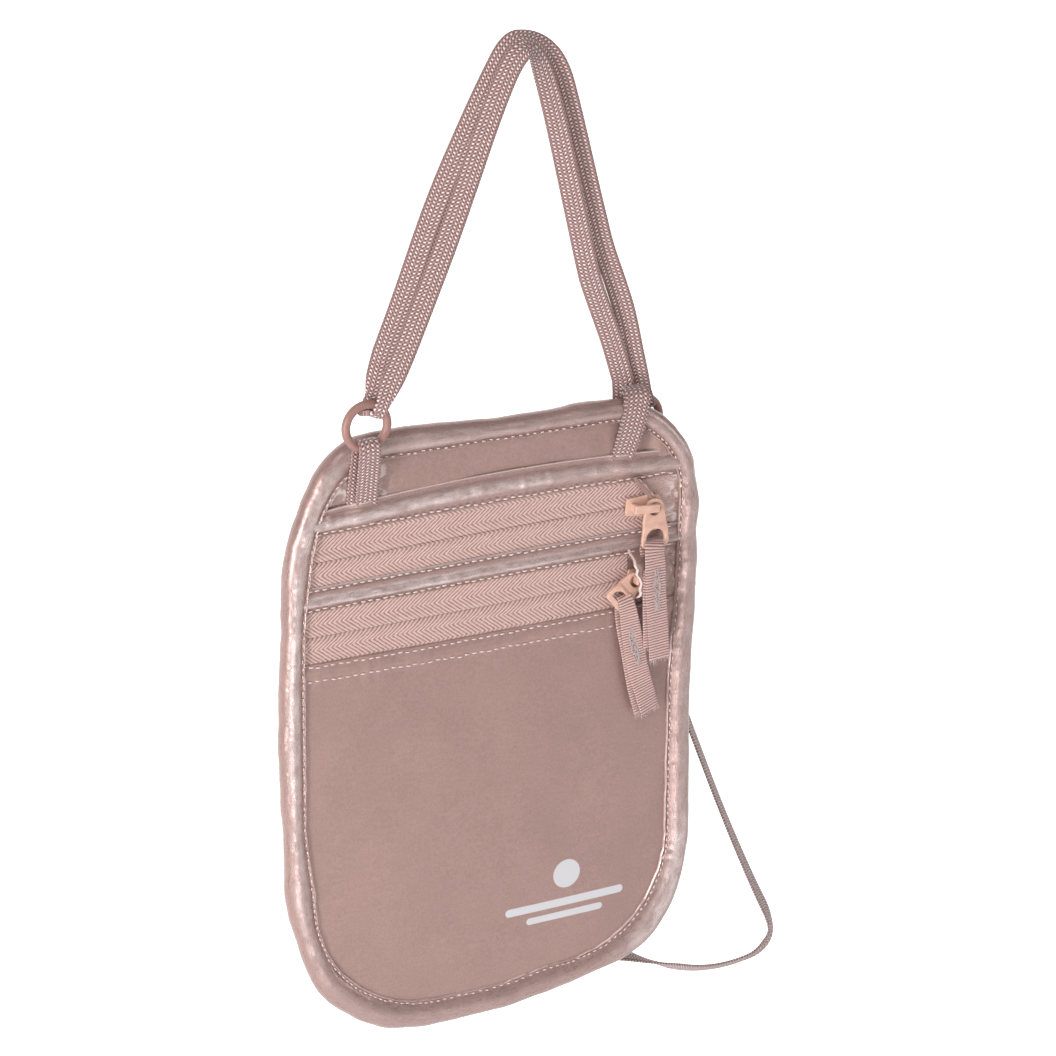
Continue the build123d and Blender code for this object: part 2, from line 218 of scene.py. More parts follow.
def settle(points):
    """The soft set of the front: its zips, bands and panel edge bow a little in the middle."""
    x, y, z = points[:, 0], points[:, 1], points[:, 2]
    middle = 1 - np.clip(np.abs(x) / HALF_WIDTH, 0, 1) ** 2
    heights = [0, 60, PANEL_TOP, 140, 148, UPPER_CHAIN, 162, 170, HEIGHT]
    bows = [0, -0.4, -0.9, 0.1, 0.4, 0.7, 1.3, 2.0, 1.2]
    front = np.clip((1.0 - y) / 3.0, 0, 1)
    return np.stack([x, y, z + np.interp(z, heights, bows) * middle * front], 1)


# ---------------------------------------------------------------- meshes

def quads_of(rows, columns, wrap_rows=False, wrap_columns=False):
    """The faces of a grid of points, which may close on itself either way."""
    row = np.arange(rows if wrap_rows else rows - 1)[:, None]
    column = np.arange(columns if wrap_columns else columns - 1)[None, :]
    next_row, next_column = (row + 1) % rows, (column + 1) % columns
    corners = [row * columns + column, row * columns + next_column]
    corners += [next_row * columns + next_column, next_row * columns + column]
    return np.stack([np.broadcast_to(c, corners[0].shape) for c in corners], -1).reshape(-1, 4)


def new_object(name, mesh):
    """A new object in the scene."""
    thing = bpy.data.objects.new(name, mesh)
    bpy.context.scene.collection.objects.link(thing)
    return thing


def mesh_of_curve(curve):
    """The points and faces of a curve's mesh; the curve itself is removed."""
    thing = new_object(curve.name, curve)
    mesh = bpy.data.meshes.new_from_object(thing)
    points = np.array([v.co[:] for v in mesh.vertices])
    faces = [list(p.vertices) for p in mesh.polygons]
    bpy.data.objects.remove(thing)
    bpy.data.curves.remove(curve)
    bpy.data.meshes.remove(mesh)
    return points, faces


def tidy_mesh(mesh, sharp_angle=40.0):
    """Merges doubled points, points all faces outward and shades smooth."""
    work = bmesh.new()
    work.from_mesh(mesh)
    bmesh.ops.remove_doubles(work, verts=work.verts, dist=1e-7)
    bmesh.ops.recalc_face_normals(work, faces=work.faces)
    work.to_mesh(mesh)
    work.free()
    mesh.shade_smooth()
    mesh.set_sharp_from_angle(angle=math.radians(sharp_angle))


def mesh_piece(name, points, faces, material, uvs=None, settled=False):
    """A mesh object from points in the pouch's millimetres."""
    points = np.asarray(points, float).reshape(-1, 3)
    if settled:
        points = settle(points)
    mesh = bpy.data.meshes.new(name)
    mesh.from_pydata((ORIGIN + points * MM).tolist(), [], [list(face) for face in faces])
    if uvs is not None:
        layer = mesh.uv_layers.new(name="UVMap")
        index = np.zeros(len(mesh.loops), int)
        mesh.loops.foreach_get("vertex_index", index)
        layer.data.foreach_set("uv", np.asarray(uvs, float)[index].ravel())
    tidy_mesh(mesh)
    thing = new_object(name, mesh)
    mesh.materials.append(material)
    return thing


def finish_piece(thing, body, slot, *nodes):
    """Puts a piece on the body it rides on and hides the CAD nodes it stands for; the slot, its finish, is
    not used.
    """
    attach(thing, body)
    if nodes:
        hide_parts(*nodes)
    return thing


def joined(parts):
    """Several (points, faces) lists as one."""
    points, faces, count = [], [], 0
    for part_points, part_faces in parts:
        points.append(np.asarray(part_points, float))
        faces += [[i + count for i in face] for face in part_faces]
        count += len(part_points)
    return np.concatenate(points), faces


def lofted(rings, close_ends=True):
    """Closed rings of points joined into one skin: points (n, m, 3) to points and faces."""
    rings = np.asarray(rings, float)
    count, size = rings.shape[:2]
    faces = quads_of(count, size, wrap_columns=True).tolist()
    if close_ends:
        faces.append(list(range(size)))
        faces.append(list(range((count - 1) * size, count * size)))
    return rings.reshape(-1, 3), faces


# ---------------------------------------------------------------- materials

class Value:
    """A number that a node gives, which Python's own signs can reckon with."""

    def __init__(self, nodes, socket):
        self.nodes = nodes
        self.socket = socket

    def __add__(self, other):
        return self.nodes.math("ADD", self, other)

    def __sub__(self, other):
        return self.nodes.math("SUBTRACT", self, other)

    def __rsub__(self, other):
        return self.nodes.math("SUBTRACT", other, self)

    def __mul__(self, other):
        return self.nodes.math("MULTIPLY", self, other)

    def __pow__(self, other):
        return self.nodes.math("POWER", self, other)

    def __abs__(self):
        return self.nodes.math("ABSOLUTE", self)


class Nodes:
    """A small helper that writes a node material."""

    def __init__(self, name, roughness, **sockets):
        self.material = bpy.data.materials.new(name)
        self.material.use_nodes = True
        self.tree = self.material.node_tree
        self.shader = self.tree.nodes["Principled BSDF"]
        self.shader.inputs["Roughness"].default_value = roughness
        for socket, value in sockets.items():
            self.shader.inputs[socket.replace("_", " ")].default_value = value

    def add(self, kind, **settings):
        """A new node with some of its settings."""
        node = self.tree.nodes.new(kind)
        for key, value in settings.items():
            setattr(node, key, value)
        return node

    def link(self, source, target):
        """Feeds a socket from a number, a colour or another socket."""
        if isinstance(source, Value):
            source = source.socket
        if isinstance(source, (int, float)):
            target.default_value = source
        elif isinstance(source, tuple):
            target.default_value = source
        else:
            self.tree.links.new(source, target)

    def math(self, operation, *values):
        """One operation on numbers."""
        node = self.add("ShaderNodeMath", operation=operation)
        for socket, value in zip(node.inputs, values):
            self.link(value, socket)
        return Value(self, node.outputs[0])

    def wave(self, value, length, kind="SINE"):
        """A wave of a length over a number."""
        return self.math(kind, value * (2 * math.pi / length))

    def place(self, scale=1000.0):
        """Object coordinates, in millimetres unless scaled otherwise."""
        return self.scaled(self.add("ShaderNodeTexCoord").outputs["Object"], (scale, scale, scale))

    def strip(self):
        """The strip's own coordinates: x along it and y across it, in millimetres."""
        return self.scaled(self.add("ShaderNodeUVMap").outputs["UV"], (1000.0, 1000.0, 1.0))

    def scaled(self, source, scale):
        """A vector times another."""
        node = self.add("ShaderNodeVectorMath", operation="MULTIPLY")
        self.link(source, node.inputs[0])
        node.inputs[1].default_value = scale
        return node.outputs[0]

    def axes(self, vector):
        """The three numbers of a vector."""
        node = self.add("ShaderNodeSeparateXYZ")
        self.link(vector, node.inputs[0])
        return [Value(self, output) for output in node.outputs]

    def noise(self, vector, scale=1.0, detail=3.0, roughness=0.5, distortion=0.0):
        """Noise over a vector; the scale may be one number or three."""
        if isinstance(scale, tuple):
            vector, scale = self.scaled(vector, scale), 1.0
        node = self.add("ShaderNodeTexNoise")
        self.link(vector, node.inputs["Vector"])
        settings = {"Scale": scale, "Detail": detail, "Roughness": roughness, "Distortion": distortion}
        for socket, value in settings.items():
            node.inputs[socket].default_value = value
        return Value(self, node.outputs["Fac"])

    def ramp(self, value, low, high, to_low=0.0, to_high=1.0):
        """A number carried smoothly from one range to another."""
        node = self.add("ShaderNodeMapRange", clamp=True, interpolation_type="SMOOTHSTEP")
        for socket, number in zip(node.inputs, (value, low, high, to_low, to_high)):
            self.link(number, socket)
        return Value(self, node.outputs[0])

    def mix(self, factor, first, second, blend="MIX"):
        """Two colours mixed."""
        node = self.add("ShaderNodeMix", data_type="RGBA", blend_type=blend)
        self.link(factor, node.inputs["Factor"])
        self.link(first, node.inputs[6])
        self.link(second, node.inputs[7])
        return node.outputs[2]

    def dimmed(self, colour, value):
        """A colour times a number."""
        grey = self.add("ShaderNodeCombineColor")
        for socket in grey.inputs[:3]:
            self.link(value, socket)
        return self.mix(1.0, colour, grey.outputs[0], "MULTIPLY")

    def colour(self, source):
        """Sets the surface's colour."""
        self.link(source, self.shader.inputs["Base Color"])

    def roughness(self, source):
        """Sets the surface's roughness."""
        self.link(source, self.shader.inputs["Roughness"])

    def bump(self, height, distance, strength=1.0):
        """Adds relief, in millimetres, over what relief there is."""
        node = self.add("ShaderNodeBump")
        node.inputs["Strength"].default_value = strength
        node.inputs["Distance"].default_value = distance * MM
        self.link(height, node.inputs["Height"])
        socket = self.shader.inputs["Normal"]
        if socket.is_linked:
            self.link(socket.links[0].from_socket, node.inputs["Normal"])
        self.link(node.outputs[0], socket)


def shade(red, green, blue):
    """A colour given in display values of 0 to 255, as the shader's linear values."""
    linear = []
    for value in (red, green, blue):
        value /= 255
        linear.append(value / 12.92 if value <= 0.04045 else ((value + 0.055) / 1.055) ** 2.4)
    return (*linear, 1.0)


def tinted(colour, factor):
    """A darker or lighter colour."""
    return (*(min(1.0, c * factor) for c in colour[:3]), 1.0)


ROSE = shade(160, 129, 122)
ROSE_DEEP = shade(138, 104, 97)
ROSE_PALE = shade(232, 214, 211)
# Painted highlight colour, laid on satin crowns and crumpled corners
ROSE_HIGHLIGHT = shade(232, 218, 217)
SATIN_STRIP = shade(160, 130, 124)
INK = shade(200, 199, 203)

# A plain print on the front panel, a disc and two rounded bars, each given as its middle (x, z),
# half its length and its radius
PRINT = [((13.0, 41.0), 0.0, 4.6), ((12.5, 31.8), 19.0, 1.3), ((12.5, 27.6), 12.0, 1.1)]
PRINT_BLUR = 0.08


def print_mask(m, x, z):
    """Where ink lies: 1 inside any of the print's rounded bars."""
    masks = []
    for (middle_x, middle_z), half, radius in PRINT:
        along = m.math("MAXIMUM", abs(x - middle_x) - half, 0.0)
        up = z - middle_z
        far = m.math("SQRT", along ** 2.0 + up * up)
        masks.append(m.ramp(far, radius - PRINT_BLUR, radius + PRINT_BLUR, 1.0, 0.0))
    return m.math("MAXIMUM", masks[0], m.math("MAXIMUM", masks[1], masks[2]))


def stripe(m, across, span, level, peak):
    """A stripe across a strip: the span is (low, high), and it is level over a share of its half."""
    low, high = span
    reach = (high - low) / 2
    return m.ramp(abs(across - (low + high) / 2), reach * level, reach, peak, 0.0)


def crown_highlight(m, place, across, span):
    """Painted highlight on the crown of a puff, where satin catches the light: patchy, and strongest on the
    left side and lower right corner.
    """
    hump = stripe(m, across, span, 0.35, 1.0)
    patches = m.noise(place, (0.16, 0.5, 0.5), 3.0, 0.6)
    sparkle = m.noise(place, (1.6, 3.0, 3.0), 3.0, 0.7)
    mottle = m.ramp(patches, 0.3, 0.66, 0.3, 1.0) * m.ramp(sparkle, 0.3, 0.66, 0.6, 1.0)
    wide_x, _, wide_z = m.axes(m.place())
    level = wide_z - ORIGIN[2] / MM
    sides = m.ramp(level, 12.0, 48.0, 0.25, 1.0) * m.ramp(level, 176.0, 184.0, 1.0, 0.55)
    sides = sides * m.ramp(wide_x, -30.0, 40.0, 1.0, 0.45) * m.ramp(level, 60.0, 120.0, 0.65, 1.0)
    corner = m.ramp(wide_x, 20.0, 48.0, 0.0, 1.15) * m.ramp(level, 45.0, 62.0, 1.0, 0.4)
    return hump * mottle, m.math("MAXIMUM", sides, corner)


def satin_material(name, vector_of, base=ROSE, roughness=0.4, shine=0.3, edge_highlight=None, crown=None,
                   printed=False, crumpled=False):
    """Satin: long shiny floats over a fine weave, uneven in tone.

    It may have painted highlights, paler along a folded edge, on the crown of a puff and in crumpled
    corners. The first two are given as the span across the strip and the amount.
    """
    grit = 0.3 if crown else 1.0
    m = Nodes(name, roughness, Metallic=shine, Sheen_Weight=0.15, Sheen_Roughness=0.4,
              Specular_IOR_Level=0.7, Anisotropic=0.3)
    place = vector_of(m)
    x, y, z = m.axes(place)
    weave = m.wave(x, 0.42) * m.wave(z + y if vector_of is Nodes.place else y, 0.36)
    slubs = m.noise(place, (0.25, 1.2, 1.2), 4.0, 0.6)
    cloud = m.noise(place, (0.05, 0.05, 0.05), 3.0, 0.55)
    grain = m.noise(place, (1.6, 1.6, 1.6), 3.0, 0.7)
    tone = m.ramp(slubs * 0.5 + cloud * 0.5, 0.35, 0.65)
    colour = m.mix(tone, tinted(base, 0.95), tinted(base, 1.05))
    colour = m.dimmed(colour, m.ramp(weave, -0.9, 0.9, 0.93, 1.05))
    colour = m.dimmed(colour, m.ramp(grain, 0.3, 0.7, 1 - 0.1 * grit, 1 + 0.1 * grit))
    # Painted highlight: a paler stripe along the folded edge, where the fold catches the light
    if edge_highlight:
        span, amount = edge_highlight
        colour = m.mix(stripe(m, y, span, 0.5, amount), colour, ROSE_PALE)
    # Painted highlight on the crown of a puff, strongest where the left light would fall
    if crown:
        span, amount = crown
        pale_marks, sides = crown_highlight(m, place, y, span)
        colour = m.mix(pale_marks * (sides * amount), colour, ROSE_HIGHLIGHT)
    # Painted highlights: pale blotches on the creases of the corners, where crumpled satin catches the light
    if crumpled:
        creases = m.noise(place, (0.20, 0.20, 0.26), 3.0, 0.55, 1.2)
        corners = m.ramp(abs(x), 43.0, 50.0, 0.0, 0.75)
        colour = m.mix(m.ramp(creases, 0.5, 0.64) * corners, colour, ROSE_HIGHLIGHT)
    if printed:
        ink = print_mask(m, x, z - ORIGIN[2] / MM)
        colour = m.mix(ink * m.ramp(weave, -0.9, 0.2, 0.82, 0.97), colour, INK)
        m.link((1.0 - ink) * shine, m.shader.inputs["Metallic"])
    m.colour(colour)
    uneven = slubs * (1 - 0.6 * grit) + grain * (0.6 * grit)
    m.roughness(m.ramp(uneven, 0.3, 0.7, roughness - 0.09, roughness + 0.1))
    m.bump(weave, 0.02, 0.35 * grit)
    m.bump(grain, 0.10, 0.45 * grit)
    return m.material


def tape_material(name, chain):
    """Zip tape: herringbone ribs that change direction in rows along the chain."""
    m = Nodes(name, 0.72, Sheen_Weight=0.3, Sheen_Roughness=0.5)
    place = m.place()
    x, _, z = m.axes(place)
    fold = m.math("PINGPONG", z - (chain * MM + ORIGIN[2]) / MM, 3.85)
    wobble = m.noise(place, (0.5, 0.5, 0.5), 2.0) * 0.35
    ribs = m.wave(x * (1 / 1.5) + fold * (1 / 1.2) + wobble, 1.0)
    fine = m.wave(x * (1 / 0.55) - fold * (1 / 0.8), 1.0)
    grain = m.noise(place, 1.6, 3.0, 0.7)
    colour = m.mix(m.ramp(ribs, -0.9, 0.5), ROSE_DEEP, shade(208, 174, 166))
    colour = m.mix(m.ramp(fine, 0.0, 1.0, 0.0, 0.3), colour, ROSE_DEEP)
    m.colour(m.mix(m.ramp(grain, 0.4, 0.7, 0.0, 0.4), colour, shade(216, 184, 176)))
    m.bump(ribs + fine * 0.3, 0.08, 0.7)
    m.bump(grain, 0.06, 0.6)
    return m.material


def braid_material(name, column, step, half_width):
    """Flat braid: rose plaits with pale dots in columns, whose rows point along the strip."""
    m = Nodes(name, 0.66, Sheen_Weight=0.25, Sheen_Roughness=0.5)
    strip = m.strip()
    along, across, _ = m.axes(strip)
    side = abs(across)
    jitter = m.noise(strip, (0.6, 0.6, 1.0), 2.0)
    row = along * (1 / step) + side * (0.3 / column) + jitter * 0.5
    cell_u = m.math("FRACT", row) - 0.5
    cell_v = m.math("FRACT", across * (1 / column)) - 0.5
    tilt = m.math("SIGN", across) * (cell_v * 0.25)
    du = (cell_u + tilt) * step
    dv = cell_v * column
    far = m.math("SQRT", (du * 1.25) ** 2.0 + (dv * 0.8) ** 2.0)
    dot = m.ramp(far + jitter * 0.12, 0.27, 0.46, 1.0, 0.0)
    plait = m.wave(cell_u, 1.0, "COSINE") * m.wave(cell_v, 1.0, "COSINE")
    fibre = m.noise(strip, (5.0, 5.0, 1.0), 3.0, 0.7)
    ground = m.mix(m.ramp(plait, -0.9, 0.4), shade(96, 64, 61), shade(160, 122, 118))
    ground = m.mix(m.ramp(fibre, 0.4, 0.7, 0.0, 0.35), ground, shade(186, 148, 143))
    spot = m.mix(m.ramp(fibre, 0.3, 0.7), shade(250, 243, 241), shade(224, 203, 199))
    # Painted shade: darker towards the braid's edges, standing in for the shadow where strands meet
    edge_shade = m.ramp(side, half_width - 0.8, half_width - 0.1, 0.0, 0.5)
    m.colour(m.mix(edge_shade, m.mix(dot, ground, spot), shade(104, 70, 66)))
    m.bump(plait + dot * 0.7, 0.16, 0.9)
    m.bump(fibre, 0.05, 0.5)
    return m.material


def ribbon_material(name):
    """Ribbed ribbon: fine cords across the strip, with fuzz in the grooves."""
    m = Nodes(name, 0.7, Sheen_Weight=0.3, Sheen_Roughness=0.45)
    strip = m.strip()
    along, across, _ = m.axes(strip)
    wobble = m.noise(strip, (0.4, 0.9, 1.0), 2.0) * 0.4
    cords = m.wave(along * (1 / 0.85) + wobble, 1.0)
    fibre = m.noise(strip, (4.0, 7.0, 1.0), 3.0, 0.7)
    colour = m.mix(m.ramp(cords, -0.9, 0.2), shade(122, 84, 79), shade(208, 172, 166))
    m.colour(m.mix(m.ramp(fibre, 0.45, 0.8, 0.0, 0.4), colour, shade(216, 188, 182)))
    m.bump(cords, 0.13, 0.9)
    m.bump(m.wave(across, 0.33) * 0.4 + fibre, 0.04, 0.5)
    return m.material


def thread_material(name, base):
    """Sewing thread: two plies twisted round each other."""
    m = Nodes(name, 0.55, Sheen_Weight=0.4, Sheen_Roughness=0.4)
    place = m.place()
    twist = m.noise(place, 3.0, 3.0, 0.6)
    x, _, z = m.axes(place)
    ply = m.wave(x + z * 0.8, 0.38)
    colour = m.mix(m.ramp(ply, -0.6, 0.6), tinted(base, 0.8), base)
    m.colour(m.mix(m.ramp(twist, 0.4, 0.7, 0.0, 0.3), colour, shade(176, 140, 132)))
    m.bump(ply, 0.05, 0.7)
    return m.material


def cloth_material(name, base, thread=0.5):
    """Plain-woven cloth: warp and weft of equal weight."""
    m = Nodes(name, 0.68, Sheen_Weight=0.2, Sheen_Roughness=0.5)
    place = m.place()
    x, _, z = m.axes(place)
    weave = m.wave(x, thread) * m.wave(z, thread)
    grain = m.noise(place, 1.4, 3.0, 0.6)
    cloud = m.noise(place, 0.03, 3.0, 0.5)
    colour = m.mix(m.ramp(cloud, 0.35, 0.65), tinted(base, 0.88), base)
    colour = m.mix(m.ramp(weave, 0.1, 0.9, 0.0, 0.2), colour, tinted(base, 1.3))
    m.colour(m.mix(m.ramp(grain, 0.4, 0.7, 0.0, 0.2), colour, ROSE_DEEP))
    m.bump(weave, 0.05, 0.6)
    return m.material


def moulded_material(name, base):
    """Moulded plastic: smooth, with a faint mottle and fine scuffs."""
    m = Nodes(name, 0.42, Specular_IOR_Level=0.45)
    place = m.place()
    mottle = m.noise(place, 0.5, 3.0, 0.5)
    scuff = m.noise(m.scaled(place, (1.0, 1.0, 6.0)), 1.2, 4.0, 0.7)
    colour = m.mix(m.ramp(mottle, 0.35, 0.65), tinted(base, 0.93), base)
    m.colour(m.mix(m.ramp(scuff, 0.6, 0.8, 0.0, 0.25), colour, ROSE_PALE))
    m.roughness(m.ramp(scuff, 0.4, 0.8, 0.36, 0.55))
    m.bump(mottle, 0.03, 0.3)
    return m.material


def enamel_material(name):
    """Painted zip metal: satin enamel with a soft orange peel, and a little wear on the edges."""
    m = Nodes(name, 0.38, Coat_Weight=0.25, Coat_Roughness=0.25)
    place = m.place()
    peel = m.noise(place, 1.6, 3.0, 0.55)
    cloud = m.noise(place, 0.3, 2.0, 0.5)
    edge = m.add("ShaderNodeNewGeometry").outputs["Pointiness"]
    colour = m.mix(m.ramp(cloud, 0.35, 0.65), shade(202, 160, 142), shade(214, 172, 154))
    pale_marks = m.ramp(edge, 0.52, 0.6) * m.ramp(peel, 0.45, 0.6)
    m.colour(m.mix(pale_marks * 0.4, colour, shade(222, 190, 172)))
    m.roughness(m.ramp(peel, 0.35, 0.7, 0.32, 0.45))
    m.bump(peel, 0.02, 0.25)
    return m.material


def nylon_material(name):
    """Nylon coil: a satin monofilament."""
    m = Nodes(name, 0.4)
    grain = m.noise(m.place(), 1.5, 2.0, 0.5)
    m.colour(m.mix(grain, shade(140, 104, 97), shade(168, 132, 124)))
    m.bump(grain, 0.02, 0.3)
    return m.material


MATERIALS = {
    "satin": satin_material("satin", Nodes.place, roughness=0.36, crumpled=True),
    "end_satin": satin_material("end_satin", Nodes.place, shade(176, 145, 138), 0.3, 0.35, crumpled=True),
    "panel_satin": satin_material("panel_satin", Nodes.place, printed=True),
    "band_satin": satin_material("band_satin", Nodes.strip, SATIN_STRIP, 0.3, 0.4,
                                 ((-0.7, 0.4), 0.55), ((-6.6, -2.2), 0.7)),
    "binding_satin": satin_material("binding_satin", Nodes.strip, SATIN_STRIP, 0.3, 0.4,
                                    ((0.8, 1.7), 0.25), ((3.0, 8.8), 0.62)),
    "back_cloth": cloth_material("back_cloth", shade(158, 127, 120)),
    "lining_cloth": cloth_material("lining_cloth", shade(150, 118, 111), 0.6),
    "upper_tape": tape_material("upper_tape", UPPER_CHAIN),
    "lower_tape": tape_material("lower_tape", LOWER_CHAIN),
    "zip_coil": nylon_material("zip_coil"),
    "thread": thread_material("thread", shade(238, 216, 209)),
    "tack_thread": thread_material("tack_thread", shade(198, 180, 179)),
    "webbing": braid_material("webbing", 1.5, 1.15, 3.9),
    "strap": braid_material("strap", 1.35, 1.15, 3.25),
    "ring_plastic": moulded_material("ring_plastic", shade(152, 113, 105)),
    "zip_metal": enamel_material("zip_metal"),
    "ribbon": ribbon_material("ribbon"),
}


# ---------------------------------------------------------------- camera, light and floor

CAMERA_AZIMUTH = math.radians(-28.3)
CAMERA_ELEVATION = math.radians(20.7)
CAMERA_ROLL = math.radians(0.5)
CAMERA_DISTANCE = 1.309
CAMERA_LENS = 153.0
CAMERA_AIM = Vector((0.0004, 0.0, -0.1437))
FLOOR_Z = -0.85
FLOOR_REACH = 8.0
FLOOR_CURVE = 1.5


def away(azimuth, elevation):
    """The direction from the object to something seen at an azimuth and elevation."""
    level = math.cos(elevation)
    return Vector((math.sin(azimuth) * level, -math.cos(azimuth) * level, math.sin(elevation)))


def make_camera():
    """The camera, placed and turned as the photo's was."""
    camera = new_object("camera", bpy.data.cameras.new("camera"))
    camera.data.lens = CAMERA_LENS
    camera.data.sensor_width = 36.0
    camera.data.clip_start = 0.05
    camera.data.clip_end = 60.0
    back = away(CAMERA_AZIMUTH, CAMERA_ELEVATION)
    camera.rotation_mode = "QUATERNION"
    camera.rotation_quaternion = Quaternion(back, CAMERA_ROLL) @ (-back).to_track_quat("-Z", "Y")
    camera.location = CAMERA_AIM + back * CAMERA_DISTANCE
    bpy.context.scene.camera = camera


def area_light(name, azimuth, elevation, distance, size, power):
    """A soft box aimed at the middle of the object."""
    light = bpy.data.lights.new(name, "AREA")
    light.shape = "RECTANGLE"
    light.size, light.size_y = size
    light.energy = power
    thing = new_object(name, light)
    back = away(math.radians(azimuth), math.radians(elevation))
    thing.location = CAMERA_AIM + back * distance
    thing.rotation_mode = "QUATERNION"
    thing.rotation_quaternion = (-back).to_track_quat("-Z", "Y")


def make_studio():
    """A pale floor that curves up into a backdrop, under soft white light."""
    world = bpy.data.worlds.new("studio")
    bpy.context.scene.world = world
    world.use_nodes = True
    background = world.node_tree.nodes["Background"]
    background.inputs["Color"].default_value = (1, 1, 1, 1)
    background.inputs["Strength"].default_value = 0.34
    bpy.context.scene.view_settings.view_transform = "Standard"
    bpy.context.scene.view_settings.look = "None"
    area_light("left", -62, 2, 1.5, (0.3, 1.0), 18.5)
    area_light("low", -20, -30, 1.5, (0.9, 0.3), 9.0)
    area_light("high", -12, 52, 1.8, (1.0, 0.6), 9.0)
    area_light("right", 75, 12, 1.7, (0.3, 1.2), 4.0)
    m = Nodes("floor", 0.9)
    _, depth, _ = m.axes(m.place(1.0))
    m.shader.inputs["Base Color"].default_value = (0.93, 0.93, 0.93, 1)
    m.shader.inputs["Emission Color"].default_value = (1, 1, 1, 1)
    m.link(m.ramp(depth, 0.1, 0.9, 0.2, 0.8), m.shader.inputs["Emission Strength"])
    ends = [(-FLOOR_REACH, FLOOR_Z)]
    for step in range(13):
        angle = math.radians(7.5 * step)
        y = FLOOR_REACH / 2 + FLOOR_CURVE * math.sin(angle)
        ends.append((y, FLOOR_Z + FLOOR_CURVE * (1 - math.cos(angle))))
    ends.append((FLOOR_REACH / 2 + FLOOR_CURVE, FLOOR_REACH))
    rings = [[(-FLOOR_REACH, y, z), (FLOOR_REACH, y, z)] for y, z in ends]
    mesh = bpy.data.meshes.new("floor")
    points = np.array(rings).reshape(-1, 3)
    mesh.from_pydata(points.tolist(), [], quads_of(len(rings), 2).tolist())
    mesh.materials.append(m.material)
    mesh.shade_smooth()
    new_object("floor", mesh)


make_camera()
make_studio()


# ---------------------------------------------------------------- strips of braid and ribbon

def curve_points(route, resolution):
    """Points along the smooth NURBS line that a route draws, in metres."""
    curve = bpy.data.curves.new("route", "CURVE")
    curve.dimensions = "3D"
    curve.resolution_u = resolution
    spline = curve.splines.new("NURBS")
    spline.points.add(len(route) - 1)
    for point, place in zip(spline.points, route):
        point.co = (*place, 1.0)
    spline.order_u = 3
    spline.use_endpoint_u = True
    return mesh_of_curve(curve)[0]


def route_places(count, points):
    """Where points lie along a route of so many points, counted in the route's own points."""
    return 0.5 + (count - 2) * np.linspace(0, 1, len(points))


def strip_frames(points, route_length, facings):
    """Tangents, facing normals and sideways directions along a line.

    Facings are (place in the route, direction) and are blended between places.
    """
    tangents = unit(np.gradient(points, axis=0))
    place = route_places(route_length, points)
    keys = [f[0] for f in facings]
    faces = np.array([f[1] for f in facings], float)
    normals = np.stack([np.interp(place, keys, faces[:, i]) for i in range(3)], 1)
    normals -= tangents * (normals * tangents).sum(1, keepdims=True)
    normals = unit(normals)
    return tangents, normals, np.cross(tangents, normals)


def strip_profile(width, thickness, count=7):
    """A flat section with round edges, as (across, out) pairs round it."""
    reach = width / 2 - thickness / 2
    flat = np.linspace(-reach, reach, count)
    top = [(a, thickness / 2) for a in flat]
    bottom = [(a, -thickness / 2) for a in flat[::-1]]
    turn = [math.radians(a) for a in (60, 30, 0, -30, -60)]
    right = [(reach + thickness / 2 * math.cos(a), thickness / 2 * math.sin(a)) for a in turn]
    left = [(-a, -b) for a, b in right]
    return np.array(top + right + bottom + left)


def strip_skin(points, frames, widths, thicknesses, count=7):
    """The rings of a flat strip along points in metres, with uv along and across it in metres."""
    _, normals, sides = frames
    length = distances(points)
    rings, uvs = [], []
    for i, point in enumerate(points):
        profile = strip_profile(widths[i] * MM, thicknesses[i] * MM, count)
        rings.append(point + sides[i] * profile[:, 0:1] + normals[i] * profile[:, 1:2])
        uvs.append(np.stack([np.full(len(profile), length[i]), profile[:, 0]], 1))
    return np.array(rings), np.concatenate(uvs)


def flat_strip(name, points, frames, widths, thicknesses, material):
    """A flat strip as a mesh object."""
    rings, uvs = strip_skin(points, frames, widths, thicknesses)
    points_mm, faces = lofted((rings - ORIGIN) / MM)
    return mesh_piece(name, points_mm, faces, material, uvs)


